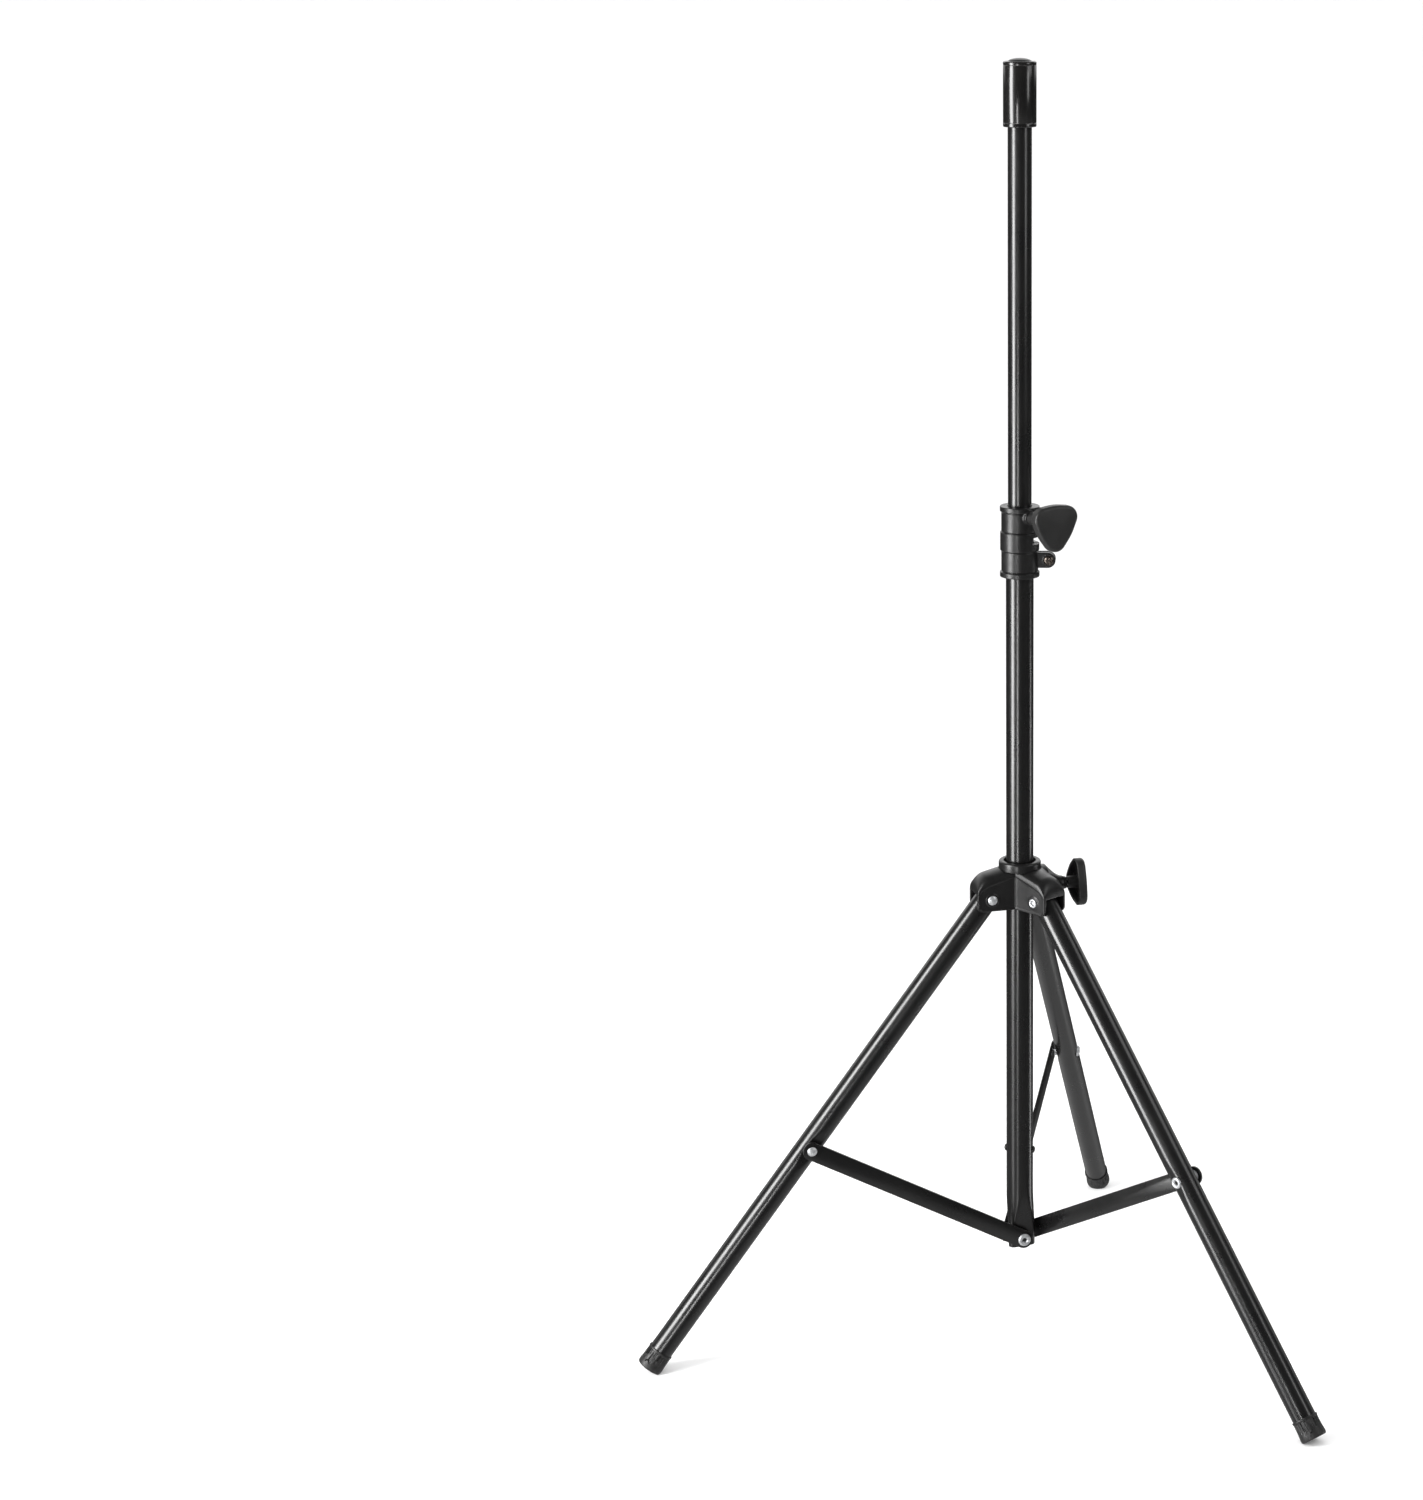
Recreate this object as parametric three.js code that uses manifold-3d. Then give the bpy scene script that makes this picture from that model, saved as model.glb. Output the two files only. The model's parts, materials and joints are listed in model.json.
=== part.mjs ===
// Tripod stand for a loudspeaker: a telescoping pole in a three-legged folding base.
// Millimetres, +Z up. The origin is on the floor, on the mast's axis.
import * as THREE from 'three';
import { mergeVertices } from 'three/addons/utils/BufferGeometryUtils.js';
import Module from 'manifold-3d';

const wasm = await Module();
wasm.setup();

// Clearances and mesh fineness
const GAP = 0.3;
const ROUND = 24;
const SMALL_ROUND = 12;
const CURVE_STEPS = 6;

// Mast: the outer tube, standing on the braces
const MAST_RADIUS = 15;
const MAST_WALL = 1.5;
const MAST_BOTTOM = 101.5;
const MAST_TOP = 908;
const FORMED_LENGTH = 72;
const STRAIGHT_FLAT_LENGTH = 14;
const FLAT_DISTANCE = 11.2;
const FLAT_CORNER_RADIUS = 5.4;
const FLAT_CORNER_CENTRE = 11.6;
const STOP_PIN_Z = 216;
const PIN_TURN = 60;
const STOP_PIN_RADIUS = 3;
const STOP_PIN_PROUD = 2.3;

// Pole: the inner tube and the sleeve that enters the loudspeaker
const POLE_RADIUS = 12.7;
const POLE_WALL = 1.5;
const POLE_BOTTOM = 630;
const FOOT_BUSH_SKIRT = 6;
const FOOT_BUSH_PLUG = 14;
const FOOT_BUSH_WALL = 2;
const SLEEVE_RADIUS = 17.5;
const SLEEVE_BOTTOM = 1353;
const SLEEVE_TOP = 1420.5;
const CAP_TOP = 1423.5;
const CAP_RADIUS = 11.2;
const CAP_FLAT_RADIUS = 5;
const CAP_RIM = 1.2;
const CAP_SHANK_LENGTH = 22;
const POLE_END_DEPTH = 2.5;

// Height clamp at the mast's top
const CLAMP_BOTTOM = 874.5;
const CLAMP_TOP = 951.5;
const CLAMP_RADIUS = 19.9;
const CLAMP_FLANGE_RADIUS = 21.4;
const CLAMP_BAND_RADIUS = 21.1;
const BAND_BOTTOM = 903.4;
const BAND_TOP = 923.5;
const FLANGE_HEIGHT = 5.6;
const RELIEF_SLOT_BOTTOM = 911;
const RELIEF_SLOT_TOP = 918.5;
const RELIEF_SLOT_START = 14.5;
const EAR_AZIMUTH = 359;
const EAR_Z = 893;
const EAR_HALF_HEIGHT = 8.4;
const EAR_START = 17;
const EAR_END = 38.6;
const EAR_THICKNESS = 5;
const EAR_GAP = 3;
const PINCH_SCREW_REACH = 31.4;
const CLAMP_KNOB_AZIMUTH = 301;
const CLAMP_KNOB_Z = 941.7;
const CLAMP_KNOB_FACE = 78;
const CLAMP_BOSS_END = 24;
const CLAMP_BOSS_RADIUS = 7;
const CLAMP_ROOF = 4;
const CLAMP_NUT_START = 16.6;
const PINCH_SCREW_RADIUS = 3;
const PINCH_HEAD_RADIUS = 5.8;
const PINCH_HEAD_HEIGHT = 3.4;
const PINCH_NUT_RADIUS = 5.8;
const PINCH_NUT_THICKNESS = 5;

// Hub: the bracket that slides on the mast; heights from the leg pivots
const HUB_Z = 516.3;
const PIVOT_REACH = 36;
const HUB_BOTTOM = -13;
const HUB_CORE_RADIUS = 19.6;
const CHEEK_CORNER = 6;
const ARM_HALF_WIDTH = 17;
const ARM_END = 53;
const ARM_ROOT = 20;
const LIP_DROP = 10.3;
const LIP_CORNER = 38;
const RIDGE_DROP = 8.9;
const RIDGE_CORNER = 40;
const LIP_INNER_Z = 23.9;
const RIDGE_INNER_Z = 32.3;
const SLOT_HALF_WIDTH = 13.5;
const SLOT_RADIUS = 15.9;
const MOUTH_TOP = 6;
const COLLAR_RADIUS = 23.3;
const COLLAR_TOP = 39.3;
const COLLAR_BOTTOM = 29.3;
const HUB_KNOB_Z = 8.2;
const HUB_KNOB_FACE = 73;
const HUB_BOSS_END = 53;
const HUB_BOSS_RADIUS = 13.5;
const HUB_NUT_START = 24;
const WEB_RADIUS = 22.8;
const WEB_TIP_RADIUS = 6.8;
const WEB_START = 29;
const WEB_END = 48;
const WEB_CURVE = 1.3;
const WEB_SKIRT = 1.2;
const BUSH_BOTTOM = 20;
const BUSH_RADIUS = 17.2;
const BUSH_COUNTERBORE = 17.4;
const BUSH_CLEARANCE = 0.4;

// Knobs: rounded triangles on an M6 stud, hollow behind
const KNOB_THICKNESS = 11;
const KNOB_LOBE_RADIUS = 11.2;
const KNOB_LOBE_CENTRE = 17;
const KNOB_BULGE = 2.2;
const KNOB_LOBE_SWEEP = 100;
const KNOB_BEVEL = 1;
const KNOB_RIM = 2.6;
const KNOB_FACE_WALL = 3.6;
const HUB_KNOB_TURN = 75;
const STEM_GAP = 1.5;
const STEM_RADIUS = 6.6;
const STEM_FLARE = 1.5;
const PAD_LENGTH = 3;
const STUD_COVER = 2;
const STUD_RADIUS = 3;
const NUT_RADIUS = 5.8;
const NUT_THICKNESS = 5;

// Legs and braces
const FIRST_LEG_AZIMUTH = 196.6;
const LEG_SPREAD = 37.57;
const LEG_RADIUS = 13.2;
const LEG_WALL = 1.2;
const LEG_TOP_END = 8;
const LEG_LENGTH = 643.9;
const BRACE_REACH_ON_LEG = 340.5;
const LEG_FLAT_DISTANCE = 11.2;
const LEG_DIMPLE_DISTANCE = 12.6;
const LEG_FLAT_HALF_LENGTH = 30;
const FOOT_RADIUS = 14.5;
const FOOT_LENGTH = 24;
const FOOT_FLOOR = 4;
const FOOT_EDGE_RADIUS = 2;
const BRACE_PIVOT_Z = 112.5;
const BRACE_HALF_WIDTH = 10.2;
const BRACE_INNER_FACE = 15.4;
const BRACE_THICKNESS = 3;
const RIVET_RADIUS = 3;
const RIVET_HEAD_RADIUS = 5.4;
const RIVET_HEAD_HEIGHT = 2.6;
const RING_HEIGHT = 1.7;
const RING_HOLLOW_RADIUS = 2.1;
const MAST_RING_RADIUS = 7.2;
const LEG_RING_RADIUS = 6.4;
const WASHER_RADIUS = 7;

const DEGREE = Math.PI / 180;

// ---- Materials --------------------------------------------------------------------------------

function material(color, roughness, metalness) {
  return new THREE.MeshStandardMaterial({ color, roughness, metalness });
}

const gloss_paint = () => material(0x101012, 0.3, 0.3);
const turned_black = () => material(0x151517, 0.25, 0.5);
const black_plastic = () => material(0x202022, 0.6, 0);
const grey_plastic = () => material(0x2e2e30, 0.65, 0);
const rubber = () => material(0x0e0e0f, 0.5, 0);
const zinc = () => material(0xc8ccd0, 0.3, 0.9);
const nickel = () => material(0xb0a090, 0.3, 0.9);
const nylon = () => material(0x2a2a2c, 0.5, 0);

// ---- Solids -----------------------------------------------------------------------------------

function toManifold(geometry) {
  const bare = geometry.index ? geometry.clone() : geometry;
  bare.deleteAttribute('normal');
  bare.deleteAttribute('uv');
  const merged = mergeVertices(bare, 1e-4);
  const mesh = new wasm.Mesh({
    numProp: 3,
    vertProperties: new Float32Array(merged.attributes.position.array),
    triVerts: new Uint32Array(merged.index.array),
  });
  return new wasm.Manifold(mesh);
}

function toGeometry(solid) {
  const mesh = solid.getMesh();
  const geometry = new THREE.BufferGeometry();
  geometry.setAttribute('position', new THREE.BufferAttribute(mesh.vertProperties, 3));
  geometry.setIndex(new THREE.BufferAttribute(mesh.triVerts, 1));
  return geometry;
}

// Takes tools away from a base, or adds them to it.
function cut(base, ...tools) {
  let solid = toManifold(base);
  for (const tool of tools) {
    solid = solid.subtract(toManifold(tool));
  }
  return toGeometry(solid);
}

function join(base, ...others) {
  let solid = toManifold(base);
  for (const other of others) {
    solid = solid.add(toManifold(other));
  }
  return toGeometry(solid);
}

// Turns a profile of [radius, height] points about Z. The profile is counter-clockwise in that
// plane, and it closes on itself or starts and ends on the axis.
function turned(profile, segments = ROUND) {
  const points = profile.map(([radius, z]) => new THREE.Vector2(radius, z));
  return new THREE.LatheGeometry(points, segments).rotateX(Math.PI / 2);
}

function rod(radius, bottom, top, segments = SMALL_ROUND) {
  return turned([[0, bottom], [radius, bottom], [radius, top], [0, top]], segments);
}

function pipe(inner, outer, bottom, top, segments = ROUND) {
  return turned([[inner, bottom], [outer, bottom], [outer, top], [inner, top], [inner, bottom]], segments);
}

function box(x0, x1, y0, y1, z0, z1) {
  const block = new THREE.BoxGeometry(x1 - x0, y1 - y0, z1 - z0);
  return block.translate((x0 + x1) / 2, (y0 + y1) / 2, (z0 + z1) / 2);
}

// Lays a solid that was made along +Z down along +X, or along +Y.
function alongX(geometry) {
  return geometry.rotateY(Math.PI / 2);
}

function alongY(geometry) {
  return geometry.rotateX(-Math.PI / 2);
}

// Skins closed loops of equal point counts, one after another, and caps both ends.
function loft(loops) {
  const count = loops[0].length;
  const positions = loops.flat().flatMap((p) => [p.x, p.y, p.z]);
  const triangles = [];
  for (let i = 0; i + 1 < loops.length; i += 1) {
    for (let j = 0; j < count; j += 1) {
      const a = i * count + j;
      const b = i * count + ((j + 1) % count);
      triangles.push(a, b, b + count, a, b + count, a + count);
    }
  }
  const last = (loops.length - 1) * count;
  for (let j = 1; j + 1 < count; j += 1) {
    triangles.push(0, j + 1, j, last, last + j, last + j + 1);
  }
  const geometry = new THREE.BufferGeometry();
  geometry.setAttribute('position', new THREE.Float32BufferAttribute(positions, 3));
  geometry.setIndex(triangles);
  return geometry;
}

// ---- Assembly ---------------------------------------------------------------------------------

const group = new THREE.Group();

function place(parent, name, geometry, look) {
  geometry.computeVertexNormals();
  const mesh = new THREE.Mesh(geometry, look);
  mesh.name = name;
  parent.add(mesh);
}

function turnedGroup(parent, azimuth, z = 0) {
  const turnedPart = new THREE.Group();
  turnedPart.rotation.z = azimuth * DEGREE;
  turnedPart.position.z = z;
  parent.add(turnedPart);
  return turnedPart;
}

// ---- Mast -------------------------------------------------------------------------------------

// Distance from the axis of the rounded triangle that the mast's foot is pressed into.
// The three flats face the braces.
function triangleRadius(angle, shrink) {
  const third = 120 * DEGREE;
  const offset = (((angle % third) + third) % third) - third / 2;
  const turn = Math.abs(offset);
  const corner = FLAT_CORNER_RADIUS - shrink;
  const tangentX = FLAT_CORNER_CENTRE + corner * Math.cos(60 * DEGREE);
  const tangentY = corner * Math.sin(60 * DEGREE);
  if (turn > Math.atan2(tangentY, tangentX)) {
    return (FLAT_DISTANCE - shrink) / Math.cos(60 * DEGREE - turn);
  }
  const across = FLAT_CORNER_CENTRE * Math.sin(turn);
  return FLAT_CORNER_CENTRE * Math.cos(turn) + Math.sqrt(corner ** 2 - across ** 2);
}

function mastLoop(z, shrink, flatAzimuth) {
  const above = z - MAST_BOTTOM - STRAIGHT_FLAT_LENGTH;
  const rise = Math.min(Math.max(above / (FORMED_LENGTH - STRAIGHT_FLAT_LENGTH), 0), 1);
  const roundness = rise * rise * (3 - 2 * rise);
  const loop = [];
  for (let i = 0; i < ROUND; i += 1) {
    const angle = (i / ROUND) * 2 * Math.PI;
    const formed = triangleRadius(angle - flatAzimuth * DEGREE, shrink);
    const radius = formed + (MAST_RADIUS - shrink - formed) * roundness;
    loop.push(new THREE.Vector3(radius * Math.cos(angle), radius * Math.sin(angle), z));
  }
  return loop;
}

function mastTube(flatAzimuth) {
  const steps = [0, 0.25, 0.5, 0.75, 1];
  const formed = steps.map((s) => STRAIGHT_FLAT_LENGTH + s * (FORMED_LENGTH - STRAIGHT_FLAT_LENGTH));
  const heights = [0, ...formed, MAST_TOP - MAST_BOTTOM];
  const levels = heights.map((height) => MAST_BOTTOM + height);
  const outside = levels.map((z) => mastLoop(z, 0, flatAzimuth));
  const ends = [MAST_BOTTOM - 1, ...levels.slice(1, -1), MAST_TOP + 1];
  const inside = ends.map((z) => mastLoop(z, MAST_WALL, flatAzimuth));
  const holes = [];
  for (let i = 0; i < 3; i += 1) {
    const hole = alongX(rod(RIVET_RADIUS + GAP, MAST_RADIUS / 3, 2 * MAST_RADIUS));
    holes.push(hole.rotateZ((flatAzimuth + 120 * i) * DEGREE).translate(0, 0, BRACE_PIVOT_Z));
  }
  const pinHole = alongX(rod(STOP_PIN_RADIUS + GAP, -2 * MAST_RADIUS, 2 * MAST_RADIUS));
  holes.push(pinHole.rotateZ((flatAzimuth + PIN_TURN) * DEGREE).translate(0, 0, STOP_PIN_Z));
  return cut(loft(outside), loft(inside), ...holes);
}

// Plug pressed into the mast's foot: it backs the three rivets and closes the end.
function mastPlug(flatAzimuth) {
  const slack = MAST_WALL + GAP;
  const levels = [MAST_BOTTOM + 1, MAST_BOTTOM + STRAIGHT_FLAT_LENGTH, BRACE_PIVOT_Z + MAST_RADIUS];
  const plug = loft(levels.map((z) => mastLoop(z, slack, flatAzimuth)));
  const holes = [];
  for (let i = 0; i < 3; i += 1) {
    const hole = alongX(rod(RIVET_RADIUS + GAP, 2, 2 * MAST_RADIUS));
    holes.push(hole.rotateZ((flatAzimuth + 120 * i) * DEGREE).translate(0, 0, BRACE_PIVOT_Z));
  }
  return cut(plug, ...holes);
}

// Rivet through the mast near its foot, which stops the inner tube. Its two heads stand proud.
function stopPin() {
  const head = MAST_RADIUS + GAP;
  const half = [
    [STOP_PIN_RADIUS, head],
    [STOP_PIN_RADIUS + 1, head],
    [STOP_PIN_RADIUS + 0.7, head + STOP_PIN_PROUD - 0.7],
    [STOP_PIN_RADIUS - 1, head + STOP_PIN_PROUD],
    [0, head + STOP_PIN_PROUD],
  ];
  const mirrored = half.map(([radius, z]) => [radius, -z]).reverse();
  return alongX(turned([...mirrored, ...half], SMALL_ROUND));
}

// Outer half of a low domed head, from the shank at its seat to the axis.
function domeHead(seat) {
  return [
    [RIVET_RADIUS, seat],
    [RIVET_HEAD_RADIUS, seat],
    [RIVET_HEAD_RADIUS - 0.5, seat + RIVET_HEAD_HEIGHT / 2],
    [RIVET_HEAD_RADIUS - 2.2, seat + RIVET_HEAD_HEIGHT - 0.5],
    [0, seat + RIVET_HEAD_HEIGHT],
  ];
}

// Outer half of a rolled rivet end, from its hollow middle out to `radius` at the seat.
function rolledEnd(seat, radius) {
  return [
    [0, seat + 0.4],
    [RING_HOLLOW_RADIUS, seat + 0.4],
    [RING_HOLLOW_RADIUS + 0.9, seat + RING_HEIGHT],
    [radius - 1, seat + RING_HEIGHT],
    [radius, seat],
    [RIVET_RADIUS, seat],
  ];
}

// A brace's rivet at the mast: its rolled ring is outside, and it ends inside the plug.
function mastBraceRivet() {
  const start = MAST_RADIUS / 3;
  const seat = BRACE_INNER_FACE + BRACE_THICKNESS + GAP;
  const end = [[RIVET_RADIUS, start], [0, start]];
  return turned([...rolledEnd(seat, MAST_RING_RADIUS), ...end].reverse(), SMALL_ROUND);
}

// ---- Pole -------------------------------------------------------------------------------------

function sleeve() {
  const bore = POLE_RADIUS + GAP;
  return turned([
    [bore, SLEEVE_BOTTOM],
    [SLEEVE_RADIUS - 0.9, SLEEVE_BOTTOM],
    [SLEEVE_RADIUS, SLEEVE_BOTTOM + 0.9],
    [SLEEVE_RADIUS, SLEEVE_TOP - 1.4],
    [SLEEVE_RADIUS - 1.6, SLEEVE_TOP],
    [bore, SLEEVE_TOP],
    [bore, SLEEVE_BOTTOM],
  ]);
}

// Cap driven into the pole's top: a shallow dome with a small flat in its middle.
function sleeveCap() {
  const shank = POLE_RADIUS - POLE_WALL - GAP;
  return turned([
    [0, SLEEVE_TOP - CAP_SHANK_LENGTH],
    [shank, SLEEVE_TOP - CAP_SHANK_LENGTH],
    [shank, SLEEVE_TOP - POLE_END_DEPTH + GAP],
    [CAP_RADIUS + CAP_RIM, SLEEVE_TOP - POLE_END_DEPTH + GAP],
    [CAP_RADIUS + CAP_RIM, SLEEVE_TOP],
    [CAP_RADIUS - 1.5, SLEEVE_TOP + 1.7],
    [CAP_FLAT_RADIUS, CAP_TOP],
    [0, CAP_TOP],
  ]);
}

// Plastic guide at the inner tube's lower end: a skirt outside and a plug inside.
function poleFootBush() {
  const bore = POLE_RADIUS - POLE_WALL - GAP;
  const skirt = MAST_RADIUS - MAST_WALL - BUSH_CLEARANCE;
  const low = POLE_BOTTOM - FOOT_BUSH_SKIRT;
  const high = POLE_BOTTOM + FOOT_BUSH_PLUG;
  return turned([
    [bore - FOOT_BUSH_WALL, low],
    [skirt, low],
    [skirt, POLE_BOTTOM - GAP],
    [bore, POLE_BOTTOM - GAP],
    [bore, high],
    [bore - FOOT_BUSH_WALL, high],
    [bore - FOOT_BUSH_WALL, low],
  ]);
}

// ---- Height clamp -----------------------------------------------------------------------------

// Moulded collar: bands and flanges outside, a step in the bore over the mast's end, a boss for
// the knob's nut, two pinch ears, and the slots that let the lower half close on the mast.
function clampBody() {
  const seat = MAST_RADIUS + GAP;
  const shell = turned([
    [seat, CLAMP_BOTTOM],
    [CLAMP_FLANGE_RADIUS - 0.8, CLAMP_BOTTOM],
    [CLAMP_FLANGE_RADIUS, CLAMP_BOTTOM + 0.8],
    [CLAMP_FLANGE_RADIUS, CLAMP_BOTTOM + FLANGE_HEIGHT],
    [CLAMP_RADIUS, CLAMP_BOTTOM + FLANGE_HEIGHT],
    [CLAMP_RADIUS, BAND_BOTTOM],
    [CLAMP_BAND_RADIUS, BAND_BOTTOM],
    [CLAMP_BAND_RADIUS, BAND_TOP],
    [CLAMP_RADIUS, BAND_TOP],
    [CLAMP_RADIUS, CLAMP_TOP - FLANGE_HEIGHT],
    [CLAMP_FLANGE_RADIUS, CLAMP_TOP - FLANGE_HEIGHT],
    [CLAMP_FLANGE_RADIUS, CLAMP_TOP - 0.8],
    [CLAMP_FLANGE_RADIUS - 0.8, CLAMP_TOP],
    [POLE_RADIUS + 0.5, CLAMP_TOP],
    [POLE_RADIUS + 0.5, CLAMP_TOP - CLAMP_ROOF],
    [seat, CLAMP_TOP - CLAMP_ROOF],
    [seat, CLAMP_BOTTOM],
  ]);
  const boss = alongX(turned([
    [0, CLAMP_RADIUS - 3],
    [CLAMP_BOSS_RADIUS, CLAMP_RADIUS - 3],
    [CLAMP_BOSS_RADIUS - 0.5, CLAMP_BOSS_END - 1],
    [CLAMP_BOSS_RADIUS - 1.5, CLAMP_BOSS_END],
    [0, CLAMP_BOSS_END],
  ], SMALL_ROUND));
  boss.rotateZ(CLAMP_KNOB_AZIMUTH * DEGREE).translate(0, 0, CLAMP_KNOB_Z);
  const ears = [-1, 1].map((side) => clampEar(side));
  const solid = join(shell, boss, ...ears);
  const bore = rod(seat, CLAMP_BOTTOM - 5, CLAMP_TOP - CLAMP_ROOF, ROUND);
  const reach = 2 * CLAMP_FLANGE_RADIUS;
  const split = box(CLAMP_RADIUS / 2, reach, -EAR_GAP / 2, EAR_GAP / 2, CLAMP_BOTTOM - 1, RELIEF_SLOT_TOP);
  const relief = box(RELIEF_SLOT_START, reach, -reach, reach, RELIEF_SLOT_BOTTOM, RELIEF_SLOT_TOP);
  const screwHole = alongY(rod(PINCH_SCREW_RADIUS + GAP, -CLAMP_RADIUS, CLAMP_RADIUS));
  screwHole.translate(PINCH_SCREW_REACH, 0, EAR_Z);
  for (const tool of [split, relief, screwHole]) {
    tool.rotateZ(EAR_AZIMUTH * DEGREE);
  }
  const studHole = knobHole(CLAMP_KNOB_AZIMUTH, CLAMP_KNOB_Z, CLAMP_NUT_START);
  return cut(solid, bore, split, relief, screwHole, ...studHole);
}

function clampEar(side) {
  const outline = new THREE.Shape();
  outline.moveTo(EAR_START, -EAR_HALF_HEIGHT);
  outline.lineTo(EAR_END - EAR_HALF_HEIGHT, -EAR_HALF_HEIGHT);
  outline.absarc(EAR_END - EAR_HALF_HEIGHT, 0, EAR_HALF_HEIGHT, -Math.PI / 2, Math.PI / 2, false);
  outline.lineTo(EAR_START, EAR_HALF_HEIGHT);
  const plate = new THREE.ExtrudeGeometry(outline, {
    depth: EAR_THICKNESS,
    bevelEnabled: false,
    curveSegments: CURVE_STEPS,
  });
  const middle = side * (EAR_GAP + EAR_THICKNESS) / 2;
  plate.rotateX(Math.PI / 2).translate(0, middle + EAR_THICKNESS / 2, 0);
  return plate.rotateZ(EAR_AZIMUTH * DEGREE).translate(0, 0, EAR_Z);
}

// Way for a stud: a plain hole from the axis out, and a hexagonal pocket for its nut.
function knobHole(azimuth, z, pocketStart) {
  const hole = alongX(rod(STUD_RADIUS + GAP, STUD_RADIUS, CLAMP_KNOB_FACE));
  const pocket = alongX(rod(NUT_RADIUS + GAP, pocketStart - GAP, pocketStart + NUT_THICKNESS + GAP, 6));
  return [hole, pocket].map((tool) => tool.rotateZ(azimuth * DEGREE).translate(0, 0, z));
}

function nut(radius, bore, start, thickness) {
  return cut(rod(radius, start, start + thickness, 6), rod(bore, start - 1, start + thickness + 1));
}

function studNut(start) {
  return alongX(nut(NUT_RADIUS, STUD_RADIUS + GAP, start, NUT_THICKNESS));
}

// Nylon ring that guides the inner tube, under the clamp's roof.
function clampBush() {
  const top = CLAMP_TOP - CLAMP_ROOF - GAP;
  const ring = pipe(POLE_RADIUS + GAP, MAST_RADIUS, RELIEF_SLOT_TOP + CLAMP_ROOF, top);
  const hole = alongX(rod(STUD_RADIUS + GAP, STUD_RADIUS, 2 * MAST_RADIUS));
  return cut(ring, hole.rotateZ(CLAMP_KNOB_AZIMUTH * DEGREE).translate(0, 0, CLAMP_KNOB_Z));
}

function pinchScrew() {
  const seat = EAR_GAP / 2 + EAR_THICKNESS + GAP;
  const end = -seat - PINCH_NUT_THICKNESS - 2 * GAP - 2;
  const screw = turned([
    [0, end],
    [PINCH_SCREW_RADIUS, end],
    [PINCH_SCREW_RADIUS, seat],
    [PINCH_HEAD_RADIUS, seat],
    [PINCH_HEAD_RADIUS - 0.2, seat + PINCH_HEAD_HEIGHT / 2],
    [PINCH_HEAD_RADIUS - 2, seat + PINCH_HEAD_HEIGHT - 0.2],
    [0, seat + PINCH_HEAD_HEIGHT],
  ], SMALL_ROUND);
  const recess = [0, 90].map((turn) => {
    const slot = box(-3, 3, -0.6, 0.6, seat + PINCH_HEAD_HEIGHT / 2, seat + 2 * PINCH_HEAD_HEIGHT);
    return slot.rotateZ(turn * DEGREE);
  });
  return cut(screw, ...recess);
}

// ---- Knobs ------------------------------------------------------------------------------------

// Rounded triangle with one lobe pointing down, in the plane across the stud, drawn in by `inset`.
function knobOutline(inset) {
  const outline = new THREE.Shape();
  const steps = CURVE_STEPS;
  for (let lobe = 0; lobe < 3; lobe += 1) {
    const middle = (lobe * 120 - 90) * DEGREE;
    const centreX = KNOB_LOBE_CENTRE * Math.cos(middle);
    const centreY = KNOB_LOBE_CENTRE * Math.sin(middle);
    for (let i = 0; i <= steps; i += 1) {
      const angle = middle + (i / steps - 0.5) * KNOB_LOBE_SWEEP * DEGREE;
      const x = centreX + (KNOB_LOBE_RADIUS - inset) * Math.cos(angle);
      const y = centreY + (KNOB_LOBE_RADIUS - inset) * Math.sin(angle);
      if (lobe === 0 && i === 0) {
        outline.moveTo(x, y);
      } else {
        outline.lineTo(x, y);
      }
    }
    const side = middle + 60 * DEGREE;
    const flank = KNOB_LOBE_CENTRE / 2 + KNOB_LOBE_RADIUS + KNOB_BULGE - inset;
    outline.lineTo(flank * Math.cos(side), flank * Math.sin(side));
  }
  return outline;
}

// Stands a flat shape up across the stud, from `start` along it.
function standUp(shape, start) {
  return shape.rotateX(Math.PI / 2).rotateZ(Math.PI / 2).translate(start, 0, 0);
}

// Knob head with its stem, along +X; `face` is the outer face's distance from the mast's axis, and
// `turn` is how far the head is turned about the stud.
function knobHead(face, stemStart, turn) {
  const back = face - KNOB_THICKNESS;
  const plate = new THREE.ExtrudeGeometry(knobOutline(0), {
    depth: KNOB_THICKNESS - 2 * KNOB_BEVEL,
    bevelEnabled: true,
    bevelThickness: KNOB_BEVEL,
    bevelSize: KNOB_BEVEL,
    bevelOffset: -KNOB_BEVEL,
    bevelSegments: 1,
  });
  const hollow = new THREE.ExtrudeGeometry(knobOutline(KNOB_RIM), {
    depth: KNOB_THICKNESS,
    bevelEnabled: false,
  });
  const shell = cut(standUp(plate, back + KNOB_BEVEL), standUp(hollow, back - KNOB_FACE_WALL));
  const stem = alongX(turned([
    [0, stemStart],
    [STEM_RADIUS, stemStart],
    [STEM_RADIUS + STEM_FLARE, face - KNOB_FACE_WALL + 1],
    [0, face - KNOB_FACE_WALL + 1],
  ], SMALL_ROUND));
  const bore = alongX(rod(STUD_RADIUS + GAP, stemStart - 1, face - STUD_COVER + GAP));
  return cut(join(shell, stem), bore).rotateX(turn * DEGREE);
}

function addKnob(parent, name, face, bossEnd, padStart, turn) {
  place(parent, `${name}_head`, knobHead(face, bossEnd + STEM_GAP, turn), grey_plastic());
  const padEnd = padStart + PAD_LENGTH;
  place(parent, `${name}_stud`, alongX(rod(STUD_RADIUS, padEnd + GAP, face - STUD_COVER)), zinc());
  place(parent, `${name}_pad`, alongX(rod(STUD_RADIUS, padStart, padEnd)), nylon());
}

// ---- Hub --------------------------------------------------------------------------------------

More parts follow.
